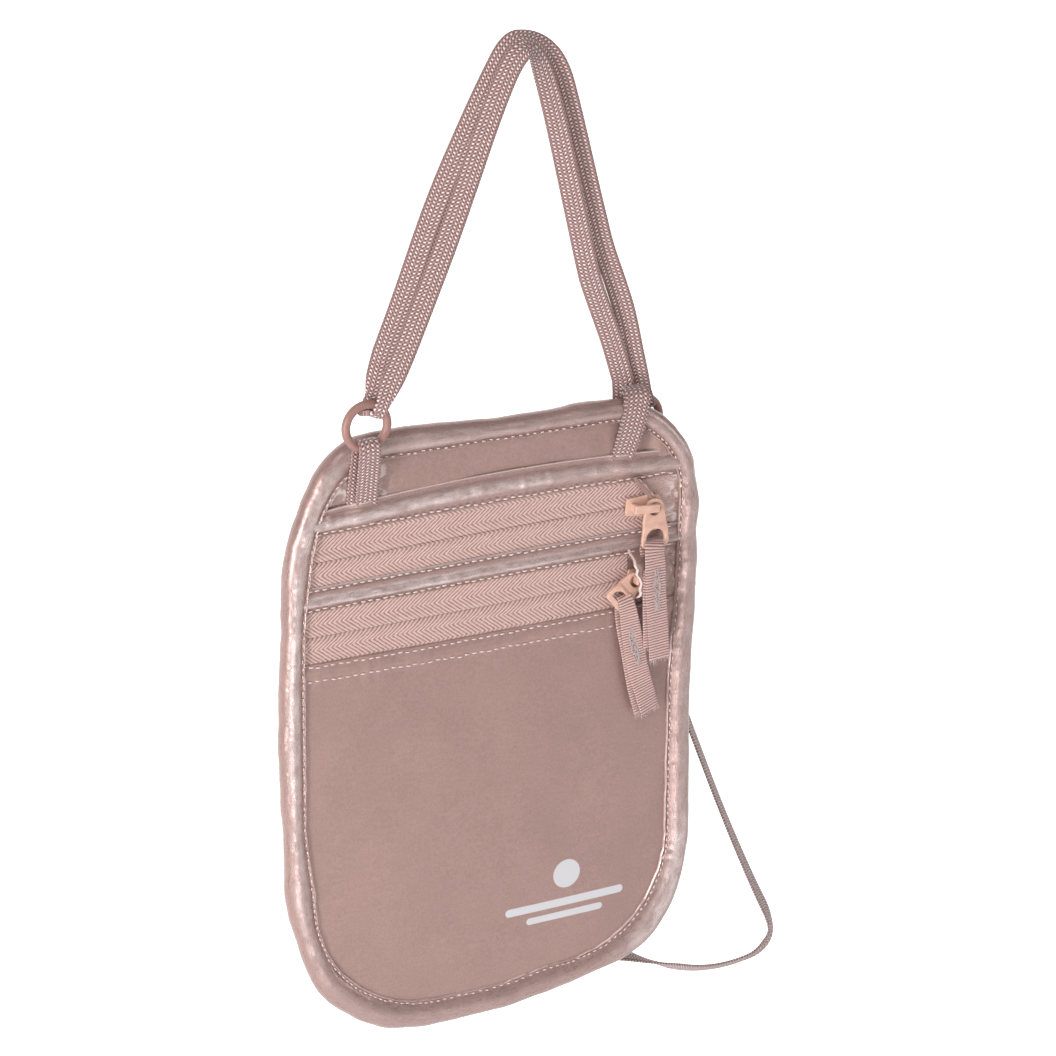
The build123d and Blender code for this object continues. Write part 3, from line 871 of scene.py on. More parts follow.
# The strap's route, the same as its centre line in the CAD model, in the pouch's millimetres
STRAP_ROUTE_MM = [
    (-44.1, -6.8, 199.5), (-44.1, -9.2, 199.5), (-37.0, -8.7, 205.8), (-25.1, -6.2, 230.1),
    (-12.8, -4.2, 257.1), (-2.6, -2.6, 281.5), (5.6, -1.7, 297.4), (11.6, -1.5, 297.6),
    (17.4, -1.2, 281.0), (25.1, 0.0, 251.0), (31.6, 1.2, 225.8), (38.0, 2.8, 206.3),
    (41.4, 3.9, 192.0), (42.6, 4.1, 183.0), (49.9, 4.0, 179.6), (50.3, 9.2, 178.4),
    (48.5, 9.6, 163.0), (40.0, 9.8, 132.0), (26.0, 9.8, 96.0), (14.0, 9.8, 62.0),
    (13.0, 9.8, 30.0), (27.0, 9.8, 10.0), (48.8, 9.8, 3.6), (64.0, 11.0, -4.0),
    (79.0, 13.5, -10.8), (94.0, 16.0, -13.4), (106.5, 17.5, -12.0), (110.8, 17.8, -4.5),
    (101.5, 16.2, 13.0), (87.0, 12.5, 43.0), (72.6, 9.8, 77.0), (60.5, 9.6, 108.0),
    (55.0, 9.6, 142.0), (53.3, 9.5, 168.0), (53.24, 9.1, 182.7), (53.24, 3.9, 182.7),
    (50.8, 3.9, 193.6), (46.0, 3.2, 212.6), (41.2, 2.8, 224.4), (36.3, 2.4, 235.6),
    (32.2, 2.0, 249.6), (24.4, 1.6, 279.0), (20.4, 1.5, 291.8), (13.2, 1.5, 299.4),
    (5.6, 1.5, 300.4), (-1.6, 1.1, 288.6), (-7.9, 0.6, 277.4), (-19.1, -0.6, 256.6),
    (-30.3, -2.2, 229.9), (-37.4, -3.2, 214.6), (-41.2, -4.0, 206.4), (-44.1, -4.0, 199.5),
    (-44.1, -6.4, 199.5),
]
STRAP_WIDTH = 6.5
STRAP_THICKNESS = 1.2
FRONT = tuple(away(CAMERA_AZIMUTH, CAMERA_ELEVATION))
STRAP_FACINGS = [
    (0, (-0.37, 0, -0.93)), (1, (-0.3, -0.75, -0.6)), (1.5, (-0.3, -0.95, -0.1)), (2.2, FRONT),
    (5, FRONT), (6.5, (0.1, -0.55, 0.8)),
    (8.5, FRONT), (13, FRONT), (14, (0, -0.5, 0.8)), (15, (0.2, 0.6, 0.7)), (16, (0, 1, 0)),
    (21, (0, 1, 0)), (22, (-0.3, 0.35, -0.9)), (23.5, (-0.3, -0.55, -0.78)), (25.5, (-0.05, -0.68, -0.73)),
    (27, (0.72, -0.58, 0.16)), (29, (0.6, -0.47, 0.36)), (31, (0.6, -0.47, 0.36)), (32, (0.85, 0.5, 0.2)),
    (33, (0, 1, 0)), (34, (0, 0.9, -0.4)), (34.6, (0, 0, -1)), (35.4, (0, -1, -0.2)), (36, FRONT),
    (42, FRONT), (43.5, (0.1, -0.5, 0.85)), (45.5, FRONT), (50, FRONT), (51, (-0.2, -0.4, 0.9)),
    (52, (0, 0, 1)),
]
# How the flat braid lies beside that line, in millimetres, where it bunches on the rings
STRAP_LIE = [
    (0.5, (2.3, 0, -0.7)), (1, (2.3, 0, -0.7)), (1.6, (0.2, 0, -0.3)), (2, (-0.8, 0, 0)), (2.6, (-0.5, 0, 0)),
    (3.5, (0, 0, 0)), (10, (0, 0, 0)),
    (11, (1.9, 0, 0)), (12, (3.4, 0, 0)), (13, (2.4, 0, 0)), (14, (0, 0, 0)), (34.5, (0, 0, 0)),
    (35.5, (-1.2, 0, 0)), (36.5, (-1.3, 0, 0)), (38, (-0.6, 0, 0)), (39.5, (0, 0, 0)), (49, (0, 0, 0)),
    (50.4, (1.6, 0, 0)), (51, (0.8, 0, 0)), (51.5, (-0.4, 0, 0)),
]


def make_strap():
    """The neck strap: one flat braid, bunched where its ends wrap the left ring."""
    route = [tuple(ORIGIN + np.array(p) * MM) for p in STRAP_ROUTE_MM]
    points = curve_points(route, 16)
    place = route_places(len(route), points)
    lie = np.array([offset for _, offset in STRAP_LIE], float) * MM
    points += np.stack([np.interp(place, [k for k, _ in STRAP_LIE], lie[:, i]) for i in range(3)], 1)
    frames = strip_frames(points, len(route), STRAP_FACINGS)
    length = distances(points) / MM
    end = np.minimum(length, length[-1] - length)
    bunch = 1 - smooth((end - 4.0) / 9.0)
    widths = STRAP_WIDTH - 2.4 * bunch
    slack = smooth((place - 21.0) / 2.0) * smooth((33.0 - place) / 2.0)
    thicknesses = STRAP_THICKNESS + 0.5 * bunch - 0.5 * slack
    strap = flat_strip("neck_strap_braid", points, frames, widths, thicknesses, MATERIALS["strap"])
    finish_piece(strap, "pouch", "strap", "neck_strap")


def make_webbing_loop(name, node, points_mm, facings, widths):
    """A webbing loop: flat braid sewn under the top band and laid through its ring."""
    route = [tuple(ORIGIN + np.array(p) * MM) for p in points_mm]
    points = curve_points(route, 14)
    frames = strip_frames(points, len(route), facings)
    place = route_places(len(route), points)
    width = np.interp(place, range(len(widths)), widths)
    loop = flat_strip(name, points, frames, width, np.full(len(points), 1.0), MATERIALS["webbing"])
    finish_piece(loop, "pouch", "webbing", node)


make_strap()
LEFT_RING_CENTRE = sum(node_box("ring_left")) / 2
RIGHT_RING_CENTRE = sum(node_box("ring_right")) / 2
RING_RADIUS = 6.5
RING_WIRE = 1.25
lx, ly, lz = LEFT_RING_CENTRE - np.array([0, 0, RING_RADIUS])
make_webbing_loop(
    "webbing_loop_left_braid", "webbing_loop_left",
    [(-41.9, -1.4, 167.5), (-42.0, -2.3, 172.0), (-43.0, -5.6, 180.0), (lx + 0.1, ly - 2.1, lz - 2.0),
     (lx, ly - 2.2, lz + 2.3), (lx, ly + 2.2, lz + 2.3), (lx - 0.2, ly + 2.2, lz - 2.0),
     (-44.6, -3.4, 180.0), (-44.6, -1.7, 172.0), (-44.4, -1.1, 167.5)],
    [(0, (0, -1, 0)), (3, (0, -1, 0)), (4, (0, -0.7, 0.7)), (4.5, (0, 0, 1)), (5, (0, 0.7, 0.7)),
     (6, (0, 1, 0)), (9, (0, 1, 0))],
    [6.8, 7.2, 7.4, 7.0, 6.6, 6.6, 6.8, 7.2, 7.2, 6.8])
make_webbing_loop(
    "webbing_loop_right_braid", "webbing_loop_right",
    [(40.6, -1.4, 167.5), (41.6, -2.4, 172.0), (43.4, -4.3, 180.0), (45.2, -4.2, 188.0),
     (45.9, -3.0, 191.0), (46.8, 1.5, 191.2), (47.2, 5.0, 189.6), (49.2, 8.6, 186.0),
     (49.4, 8.8, 181.0), (48.6, 5.0, 180.8), (47.2, 3.9, 185.0), (46.4, 2.0, 189.9),
     (45.7, -2.2, 189.7), (44.9, -3.3, 186.0), (43.0, -2.9, 178.0), (40.8, -1.2, 167.5)],
    [(0, (0, -1, 0)), (3, (0, -1, 0.1)), (4, (0, -0.6, 0.8)), (5, (0, 0.1, 1)), (6, (0.2, 0.5, 0.8)),
     (7, (0.5, 0.8, 0.4)), (8, (0.5, 0.6, -0.5)), (9, (0, -0.6, -0.8)), (10, (-0.4, -0.9, -0.2)),
     (11, (0, -0.4, -0.9)), (12, (0, 0.5, -0.8)), (13, (0, 1, 0)), (15, (0, 1, 0))],
    [7.0, 7.4, 8.0, 8.2, 7.8, 6.8, 6.2, 5.2, 5.0, 5.2, 6.0, 6.6, 7.6, 8.0, 7.4, 7.0])


def make_ring(name, node, body, centre):
    """A moulded ring: a round wire with a faint parting ridge on its rim."""
    around, section = 96, 24
    rings = []
    for i in range(around):
        turn = 2 * math.pi * i / around
        outward = np.array([math.cos(turn), 0, math.sin(turn)])
        ring = []
        for j in range(section):
            angle = 2 * math.pi * j / section
            wire = RING_WIRE + 0.05 * (math.cos(angle) ** 24)
            ring.append(centre + outward * (RING_RADIUS + wire * math.cos(angle))
                        + np.array([0, wire * math.sin(angle), 0]))
        rings.append(ring)
    points = np.array(rings).reshape(-1, 3)
    faces = quads_of(around, section, True, True)
    ring = mesh_piece(name, points, faces, MATERIALS["ring_plastic"])
    finish_piece(ring, body, "ring_plastic", node)


make_ring("ring_left_moulded", "ring_left", "left_ring", LEFT_RING_CENTRE)
make_ring("ring_right_moulded", "ring_right", "right_ring", RIGHT_RING_CENTRE)


# ---------------------------------------------------------------- sheets of cloth

large_folds = Noise(11)
small_folds = Noise(12)
puckers = Noise(13)


def cloth_sheet(name, heights, inset, front, back, material, columns=150, reach=None):
    """A closed sheet of cloth that fills the outline between heights, given its two faces."""
    share = np.linspace(-1, 1, columns)
    rings = []
    for z in heights:
        half = corner_reach(z, inset)
        x = share * half
        if reach is not None:
            low, high = reach(z)
            x = low + (share + 1) / 2 * (high - low)
        level = np.full(columns, z)
        y_front, y_back = front(x, level), back(x, level)
        rings.append(np.concatenate([np.stack([x, y_front, level], 1),
                                     np.stack([x, y_back, level], 1)[::-1]]))
    rings = np.array(rings)
    count, size = rings.shape[:2]
    faces = quads_of(count, size, wrap_columns=True).tolist()
    for row in (0, count - 1):
        base = row * size
        for i in range(columns - 1):
            faces.append([base + i, base + i + 1, base + size - 2 - i, base + size - 1 - i])
    return mesh_piece(name, rings.reshape(-1, 3), faces, material, settled=True)


def rows_between(low, high, step, edge=0.0):
    """Heights from low to high, with more of them near the top where that edge is rounded."""
    rows = list(np.linspace(low, high, max(3, int((high - low) / step) + 1)))
    if edge:
        rows += [high - edge * t for t in (0.03, 0.12, 0.3, 0.6)]
    return np.array(sorted(rows))


def seam_pucker(x, distance, reach=3.0, amount=0.12):
    """Short gathers that a row of stitches draws into the cloth beside it."""
    gathers = puckers(x / 2.2, distance * 0.15) + 0.6 * puckers(x / 0.9 + 40, distance * 0.3 + 7)
    return amount * gathers * np.exp(-(distance / reach) ** 2)


def panel_front(x, z):
    """The front panel's face: it bellies out, with a hem sewn in two rows along its top."""
    across = np.clip(1 - (x / FRONT_REACH) ** 2, 0, 1)
    up = np.clip(z / (PANEL_TOP - 2), 0, 1)
    dome = across * np.sin(math.pi * up) ** 0.7
    y = -1.75 - 1.7 * dome
    y -= 0.30 * large_folds(x / 26, z / 30) * dome + 0.10 * small_folds(x / 9, z / 12) * dome
    hem = smooth((z - (PANEL_TOP - 6.0)) / 0.8)
    y -= 0.35 * hem
    for row in HEM_ROWS:
        y += 0.3 * bump_at(z - row, 0.8)
        y -= seam_pucker(x, z - row)
    return y + 0.55 * (1 - quarter_round((PANEL_TOP - z) / 0.45))


def level_face(y):
    """A face that is flat at a depth."""
    return lambda x, z: np.full_like(x, y)


def plain(y, amount=0.08, seed=0.0):
    """A flat face with slight folds."""
    return lambda x, z: y + amount * large_folds(x / 20 + seed, z / 24 + seed)


def sheet_note(node):
    """Reckons the flat size of a panel's CAD sheet; the result is kept nowhere."""
    low, high = node_box(node)
    width, length = (high[0] - low[0]) * MM, (high[2] - low[2]) * MM
    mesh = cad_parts[node].data
    area = sum(p.area for p in mesh.polygons) / 2
    min(area, width * length)


def make_panels():
    """The pouch's cloth: front, top, lining behind the zips' ends, divider, lining and back."""
    panel = cloth_sheet("front_panel_satin", rows_between(CLOTH_INSET, PANEL_TOP, 0.9, 0.5), CLOTH_INSET,
                        panel_front, level_face(PANEL_BACK_Y), MATERIALS["panel_satin"], 190)
    finish_piece(panel, "pouch", "satin", "front_panel")
    sheet_note("front_panel")
    low = node_heights("top_panel")[0]
    top = cloth_sheet("top_panel_satin", rows_between(low, HEIGHT - CLOTH_INSET, 1.2), CLOTH_INSET,
                      lambda x, z: (-1.5 - 0.25 * large_folds(x / 17 + 5, z / 9)
                                    - (0.1 + 0.8 * smooth((np.abs(x) - 40) / 8)) * small_folds(x / 5, z / 8)),
                      plain(-0.8), MATERIALS["satin"], 120)
    finish_piece(top, "pouch", "satin", "top_panel")
    sheet_note("top_panel")
    low, high = node_heights("zip_end_lining")
    end = cloth_sheet("zip_end_lining_satin", rows_between(low, high, 0.7), CLOTH_INSET,
                      lambda x, z: -1.3 - 0.55 * small_folds(x / 6, z / 10) - 0.2 * puckers(x / 2.6, z / 4),
                      plain(-0.6, 0.02), MATERIALS["end_satin"], 40,
                      reach=lambda z: (44.0, float(corner_reach(z, CLOTH_INSET))))
    finish_piece(end, "pouch", "satin", "zip_end_lining")
    sheets = [
        ("pocket_divider_cloth", "pocket_divider", "lining_cloth", 1.15, 0.12),
        ("back_lining_cloth", "back_lining", "lining_cloth", 1.55, 0.10),
    ]
    for name, node, slot, y, thickness in sheets:
        low, high = node_heights(node)
        low, high = max(low, CLOTH_INSET), min(high, HEIGHT - CLOTH_INSET)
        piece = cloth_sheet(name, rows_between(low, high, 5.0), CLOTH_INSET, plain(y - thickness, 0.02),
                            plain(y + thickness, 0.02), MATERIALS[slot], 40)
        finish_piece(piece, "pouch", slot, node)
        sheet_note(node)

    def back_face(x, z):
        dome = np.clip(1 - (x / FRONT_REACH) ** 2, 0, 1) * np.clip(np.sin(math.pi * z / HEIGHT), 0, 1) ** 0.7
        y = 2.2 + 0.9 * dome + 0.35 * large_folds(x / 24 + 9, z / 28 + 3) * dome
        return y + 0.12 * small_folds(x / 8 + 3, z / 10) * dome

    back = cloth_sheet("back_panel_cloth", rows_between(CLOTH_INSET, HEIGHT - CLOTH_INSET, 1.6), CLOTH_INSET,
                       plain(1.8, 0.02), back_face, MATERIALS["back_cloth"], 110)
    finish_piece(back, "pouch", "back_cloth", "back_panel")
    sheet_note("back_panel")


# Where the webbing loops' feet lift the top band
FOOT_PLACES = (-42.0, 40.8)


def band_relief(up, x, seed, bulge_low, bulge_high, reach):
    """How far a band stands out: flat under its top fold, gathered into a puff lower down."""
    puff = np.clip((up - bulge_low) / (bulge_high - bulge_low), 0, 1)
    depth = 0.45 + reach * np.sin(math.pi * puff) ** 0.8
    gathers = 0.34 * small_folds(x / 4.4 + seed, up * 1.3 + seed) + 0.30 * puckers(x / 1.7 + seed, up * 1.6)
    return depth + gathers * np.sin(math.pi * puff) ** 0.6 * 0.8 + 0.1 * large_folds(x / 21, up)


def make_band(name, node, low, high, stitch_rows, puff, seed, rise=0.0):
    """A folded satin band across the front, gathered by its stitching, its top fold bowed up by rise."""
    flat_height = high - low
    ups = np.concatenate([np.linspace(0, 1, 27), [0.995, 0.97, 0.8, 0.5, 0.2, 0.03, 0.005]])
    outs = np.concatenate([np.ones(27), [0.35, 0, 0, 0, 0, 0, 0.35]])
    rings, uvs = [], []
    for x in np.linspace(-FRONT_REACH, FRONT_REACH, 300):
        height = flat_height + rise * (1 - ((x - 8.0) / 70.0) ** 2)
        z = low + ups * height
        edge = np.minimum(ups, 1 - ups) * height
        rounded = quarter_round(edge / 0.35, 0.05)
        depth = band_relief(ups, x, seed, *puff)
        for row in stitch_rows:
            depth = depth - 0.35 * bump_at(z - row, 0.8) - 0.5 * seam_pucker(x, z - row, 1.5)
        lip = 0.3 * bump_at(edge, 0.5) * (ups > 0.5)
        feet = sum(1.1 * bump_at(x - foot, 6.5) for foot in FOOT_PLACES) * (name == "top_band_satin")
        front = BAND_FRONT_Y - (depth + lip) * rounded - feet * (0.35 + 0.65 * ups)
        y = front * outs + BAND_BACK_Y * (1 - outs)
        half = float(corner_reach((low + high) / 2, CLOTH_INSET))
        rings.append(np.stack([np.full(len(z), x * half / FRONT_REACH), y, z], 1))
        uvs.append(np.stack([np.full(len(z), x * MM), (ups - 1) * height * MM], 1))
    points, faces = lofted(rings)
    band = mesh_piece(name, points, faces, MATERIALS["band_satin"], np.concatenate(uvs), settled=True)
    finish_piece(band, "pouch", "band_satin", node)


make_panels()
make_band("top_band_satin", "top_band", *TOP_BAND, TOP_BAND_ROWS, (0.18, 0.78, 1.0), 3.0, 1.9)
make_band("mid_band_satin", "mid_band", *MID_BAND, MID_BAND_ROWS, (0.2, 0.52, 0.75), 9.0)


# The binding's section, as shares of its way from the outer edge to its inner one, with its depth:
# round the front from the inner lip, over the edge, and down the back. BINDING_FREE says how freely
# each of those points may fold, and BINDING_SEAM is the share of the way at which it is sewn
BINDING_SECTION = [
    (1.0, -1.4), (1.01, -2.0), (0.995, -2.5), (0.96, -2.8), (0.93, -2.65), (0.90, -2.4), (0.86, -2.35),
    (0.80, -2.75), (0.72, -3.2), (0.62, -3.55), (0.50, -3.7), (0.38, -3.6), (0.27, -3.25), (0.17, -2.7),
    (0.08, -1.9), (0.02, -0.9), (0.0, 0.1), (0.02, 1.1), (0.09, 1.9), (0.2, 2.5), (0.35, 2.8), (0.52, 2.85),
    (0.68, 2.75), (0.80, 2.5), (0.88, 2.6), (0.96, 2.45), (0.99, 2.1), (0.98, 1.9)]
BINDING_FREE = [0.05, 0.1, 0.2, 0.25, 0.2, 0.05, 0.05, 0.5, 0.9, 1, 1, 1, 1, 1, 0.9, 0.8, 0.7, 0.7, 0.8, 0.9,
                0.9, 0.8, 0.6, 0.1, 0.3, 0.3, 0.2, 0.1]
BINDING_SEAM = 0.885


def binding_line(along, total):
    """How far in from the cut outline the binding starts, and how wide it is, on the front."""
    outer = -eased(along, EDGE_SET, total)
    inner = BINDING_WIDTH - eased(along, INNER_SET, total)
    return outer, inner - outer


def make_binding():
    """The satin binding: a puffed strip folded over the edge, sewn down along its inner side."""
    count = 1150
    points, normals, along, total = outline(count)
    outer, width = binding_line(along, total)
    section = np.array(BINDING_SECTION)
    free = np.array(BINDING_FREE)
    flat = section * [BINDING_WIDTH, 1.0]
    steps = distances(flat)
    outward = unit(flat - np.array([3.8, 0.2]))
    is_back = section[:, 1] > 0.5
    cells = int(total / 9)
    rings, uvs = [], []
    for i in range(count):
        u = along[i] / total * cells
        fold = 0.45 * large_folds(u, steps / 9, cells) + 0.20 * small_folds(u * 2, steps / 6, cells * 2)
        fold += 0.05 * puckers(u * 9, steps / 2.5, cells * 9)
        fold *= 1 - 0.6 * smooth((points[i, 0] - 5) / 35) * smooth((140 - points[i, 1]) / 30)
        near_seam = np.clip((section[:, 0] - 0.45) / 0.3, 0, 1)
        fold += 0.16 * near_seam * small_folds(u * 5, steps / 8, cells * 5)
        reach = np.where(is_back, BINDING_WIDTH, width[i])
        shift = outward * (fold * free)[:, None]
        inset = outer[i] + section[:, 0] * reach + shift[:, 0]
        lip = 0.22 * large_folds(u * 3, 7.3, cells * 3) * np.clip((section[:, 0] - 0.8) / 0.2, 0, 1)
        inset = inset + lip
        rings.append(np.stack([points[i, 0] - normals[i, 0] * inset, section[:, 1] + shift[:, 1],
                               points[i, 1] - normals[i, 1] * inset], 1))
        uvs.append(np.stack([np.full(len(steps), along[i] * MM), steps * MM], 1))
    rings = np.array(rings)
    faces = quads_of(count, rings.shape[1], wrap_rows=True, wrap_columns=True)
    binding = mesh_piece("edge_binding_satin", rings.reshape(-1, 3), faces, MATERIALS["binding_satin"],
                         np.concatenate(uvs))
    finish_piece(binding, "pouch", "binding_satin", "edge_binding")


make_binding()


# ---------------------------------------------------------------- stitching

# A stitch's thickness along it, from end to end
STITCH_SHAPE = [(-0.5, 0.25), (-0.42, 0.7), (-0.25, 1.0), (0.0, 1.05), (0.25, 1.0), (0.42, 0.7), (0.5, 0.25)]


def stitch(centre, direction, out, length=1.5, radius=0.23):
    """One stitch: a short thread that dips into the cloth at both ends."""
    centre, direction, out = (np.asarray(v, float) for v in (centre, direction, out))
    side = np.cross(direction, out)
    rings = []
    for along, thick in STITCH_SHAPE:
        lift = 0.12 * (1 - (2 * along) ** 2)
        middle = centre + direction * (along * length) + out * lift
        ring = []
        for step in range(7):
            angle = 2 * math.pi * step / 7
            ring.append(middle + (side * math.cos(angle) + out * math.sin(angle)) * radius * thick)
        rings.append(ring)
    return lofted(rings)


def stitch_row(places, directions, outs, seed, **sizes):
    """Stitches along a seam, each a little different."""
    rng = np.random.default_rng(seed)
    parts = []
    for place, direction, out in zip(places, directions, outs):
        turn = rng.normal(0, 0.05)
        direction = unit(np.asarray(direction, float) + turn * np.cross(direction, out))
        shift = rng.normal(0, 0.11, 3)
        parts.append(stitch(place + shift * [1, 0.2, 1], direction, out, **sizes))
    return joined(parts)


def straight_rows(name, node, rows, reach, depth_at, seed):
    """Rows of stitches across the front at given heights."""
    parts = []
    for k, z in enumerate(rows):
        x = np.arange(-reach, reach, STITCH_STEP)
        places = np.stack([x, depth_at(x, np.full_like(x, z)), np.full_like(x, z)], 1)
        count = len(x)
        parts.append(stitch_row(places, np.tile([1.0, 0, 0], (count, 1)), np.tile([0, -1.0, 0], (count, 1)),
                                seed + k))
    points, faces = joined(parts)
    row = mesh_piece(name, points, faces, MATERIALS["thread"], settled=True)
    finish_piece(row, "pouch", "thread", node)


straight_rows("front_panel_stitches", "front_panel_stitching", HEM_ROWS, ROW_REACH,
              lambda x, z: panel_front(x, z) - 0.2, 21)
straight_rows("mid_band_stitches", "mid_band_stitching", MID_BAND_ROWS, ROW_REACH,
              level_face(BAND_THREAD_Y), 31)
straight_rows("top_band_stitches", "top_band_stitching", TOP_BAND_ROWS, TOP_ROW_REACH,
              level_face(BAND_THREAD_Y), 41)


def make_binding_stitches():
    """Stitches right round the binding, one every step."""
    total = outline(4)[3]
    count = int(total / STITCH_STEP)
    points, normals, along, _ = outline(count)
    outer, width = binding_line(along, total)
    inset = outer + width * BINDING_SEAM
    places = np.stack([points[:, 0] - normals[:, 0] * inset, np.full(count, BINDING_THREAD_Y),
                       points[:, 1] - normals[:, 1] * inset], 1)
    directions = np.stack([-normals[:, 1], np.zeros(count), normals[:, 0]], 1)
    outs = np.tile([0, -1.0, 0], (count, 1))
    mesh_points, faces = stitch_row(places, directions, outs, 51, length=1.1, radius=0.21)
    row = mesh_piece("binding_stitches", mesh_points, faces, MATERIALS["thread"])
    finish_piece(row, "pouch", "thread", "binding_stitching")


make_binding_stitches()


# ---------------------------------------------------------------- zips

# Where each zip's tapes are cut or turned under at the right: heights, and how far out they reach there
UPPER_TAPE_END = ([143, 154.0, 155.0, 163.0, 166], [54.0, 54.0, 53.6, 45.6, 43.0])
LOWER_TAPE_END = ([121, 123.2, 125.1, 129.1, 132.7, 139.5, 143], [51.2, 50.7, 49.0, 50.2, 47.4, 45.3, 44.5])


def make_tape(name, node, material, chain, side, end):
    """One half of a zip's tape, its inner edge rolled back along the chain."""
    low, high = node_heights(node)
    if side > 0:
        low = chain + 0.05
    else:
        high = chain - 0.05

    def front(x, z):
        fall = 0.42 * (1 - quarter_round((np.abs(z - chain) - 0.05) / 0.45))
        ridge = 0.25 * bump_at(np.abs(z - chain) - 1.7, 1.5)
        return TAPE_FRONT_Y + fall - ridge - 0.12 * large_folds(x / 18 + chain, z / 8)

    def reach(z):
        return -float(corner_reach(z, CLOTH_INSET)), float(np.interp(z, *end))

    tape = cloth_sheet(name, rows_between(low, high, 0.5), CLOTH_INSET, front, level_face(TAPE_BACK_Y),
                       MATERIALS[material], 200, reach)
    finish_piece(tape, "pouch", "zip_tape", node)


def make_coil(name, node, side):
    """One half of a zip's coil: a flattened nylon spiral behind the tape."""
    low, high = node_box(node)
    turns = int((high[0] - low[0]) / 1.25)
    steps = turns * 12
    middle_z, half_z = (low[2] + high[2]) / 2, (high[2] - low[2]) / 2 - 0.15
    middle_y, half_y = (low[1] + high[1]) / 2, (high[1] - low[1]) / 2 - 0.15
    angle = np.linspace(0, 2 * math.pi * turns, steps)
    x = np.linspace(low[0] + 0.3, high[0] - 0.3, steps)
    line = np.stack([x, middle_y + half_y * np.sin(angle), middle_z + side * half_z * np.cos(angle)], 1)
    tangents = unit(np.gradient(line, axis=0))
    first = unit(np.cross(tangents, [1.0, 0.0, 0.0]))
    second = np.cross(tangents, first)
    rings = []
    for i in range(steps):
        rings.append([line[i] + 0.16 * (first[i] * math.cos(a) + second[i] * math.sin(a))
                      for a in np.linspace(0, 2 * math.pi, 6)[:-1]])
    points, faces = lofted(rings)
    coil = mesh_piece(name, points, faces, MATERIALS["zip_coil"])
    finish_piece(coil, "pouch", "zip_coil", node)


ZIPS = [("upper", UPPER_CHAIN, UPPER_TAPE_END), ("lower", LOWER_CHAIN, LOWER_TAPE_END)]
for zip_name, chain_z, tape_end in ZIPS:
    for half, direction in (("upper", 1), ("lower", -1)):
        stem = f"{zip_name}_zip_{half}"
        make_tape(f"{stem}_tape_weave", f"{stem}_tape", f"{zip_name}_tape", chain_z, direction, tape_end)
        make_coil(f"{stem}_coil_spiral", f"{stem}_coil", direction)


def strip_over(name, left, right, depths, material, thickness=0.5, columns=14, tucked=None):
    """A narrow piece of cloth between two edge lines in x and z, at depths across it.

    Its two ends may be tucked back to a depth of their own, under the bands they are sewn to.
    """
    rows = len(left)
    share = np.linspace(0, 1, columns)
    depth = np.interp(share, np.linspace(0, 1, len(depths)), depths)
    rings = []
    for row, ((x0, z0), (x1, z1)) in enumerate(zip(left, right)):
        x, z = x0 + (x1 - x0) * share, z0 + (z1 - z0) * share
        wave = 0.25 * puckers(z / 1.6, x / 5)
        along = row / (rows - 1)
        stand = 1.0 if tucked is None else smooth(along / 0.2) * smooth((1 - along) / 0.2)
        front = np.stack([x, (depth + wave) * stand + (tucked or 0.0) * (1 - stand), z], 1)
        rings.append(np.concatenate([front, (front + [0, thickness, 0])[::-1]]))
    points, faces = lofted(rings)
    return mesh_piece(name, points, faces, material)


def line_between(points, count, waviness=0.0, seed=0.0):
    """A smooth line through a few points in x and z, with a slight wave."""
    points = np.array(points, float)
    steps = np.linspace(0, len(points) - 1, count)
    keys = np.arange(len(points))
    x, z = np.interp(steps, keys, points[:, 0]), np.interp(steps, keys, points[:, 1])
    kernel = np.ones(5) / 5
    x = np.convolve(np.pad(x, 2, mode="edge"), kernel, mode="valid")
    x = x + waviness * puckers(z / 1.5 + seed, seed)
    return list(zip(x, z))


def make_zip_ends():
    """The turned-under ends of the tapes at the right, where lining shows between them and the binding."""
    first = line_between([(44.5, 164.0), (46.5, 161.7), (48.7, 159.0), (50.8, 155.8), (51.6, 151.0),
                          (51.8, 148.0)], 40, 0.3, 1.0)
    second = line_between([(46.6, 163.6), (49.2, 161.2), (52.4, 157.1), (53.8, 154.0), (54.0, 151.0),
                           (54.0, 148.0)], 40, 0.3, 2.0)
    fold = strip_over("upper_zip_end_fold", first, second, [-2.7, -3.5, -3.1, -3.4], MATERIALS["satin"])
    finish_piece(fold, "pouch", "zip_tape")
    edge = line_between([(44.0, 141.6), (43.6, 139.0), (43.9, 136.6), (44.7, 134.7), (45.5, 132.9),
                         (45.1, 130.1), (45.1, 127.5), (46.2, 125.0)], 60, 0.45, 3.0)
    seam = [(x + 15.0, z) for x, z in edge]
    flap = strip_over("lower_zip_end_flap", edge, seam,
                      [-6.5, -6.9, -6.5, -6.35, -6.3, -6.15, -5.3, -3.9, -2.6, -1.8],
                      MATERIALS["satin"], 0.45, 40, -1.6)
    finish_piece(flap, "pouch", "satin")
    hem_inner = [(x + 0.75, z) for x, z in edge]
    hem = strip_over("lower_zip_end_hem", edge, hem_inner, [-6.75, -7.25, -7.2, -6.9], MATERIALS["thread"],
                     0.5, 7, -1.9)
    finish_piece(hem, "pouch", "zip_tape")


make_zip_ends()


# ---------------------------------------------------------------- sliders and pullers

def arc(centre, radius, start, end, steps):
    """Points round an arc, in degrees."""
    angles = np.radians(np.linspace(start, end, steps))
    return [(centre[0] + radius * math.cos(a), centre[1] + radius * math.sin(a)) for a in angles]


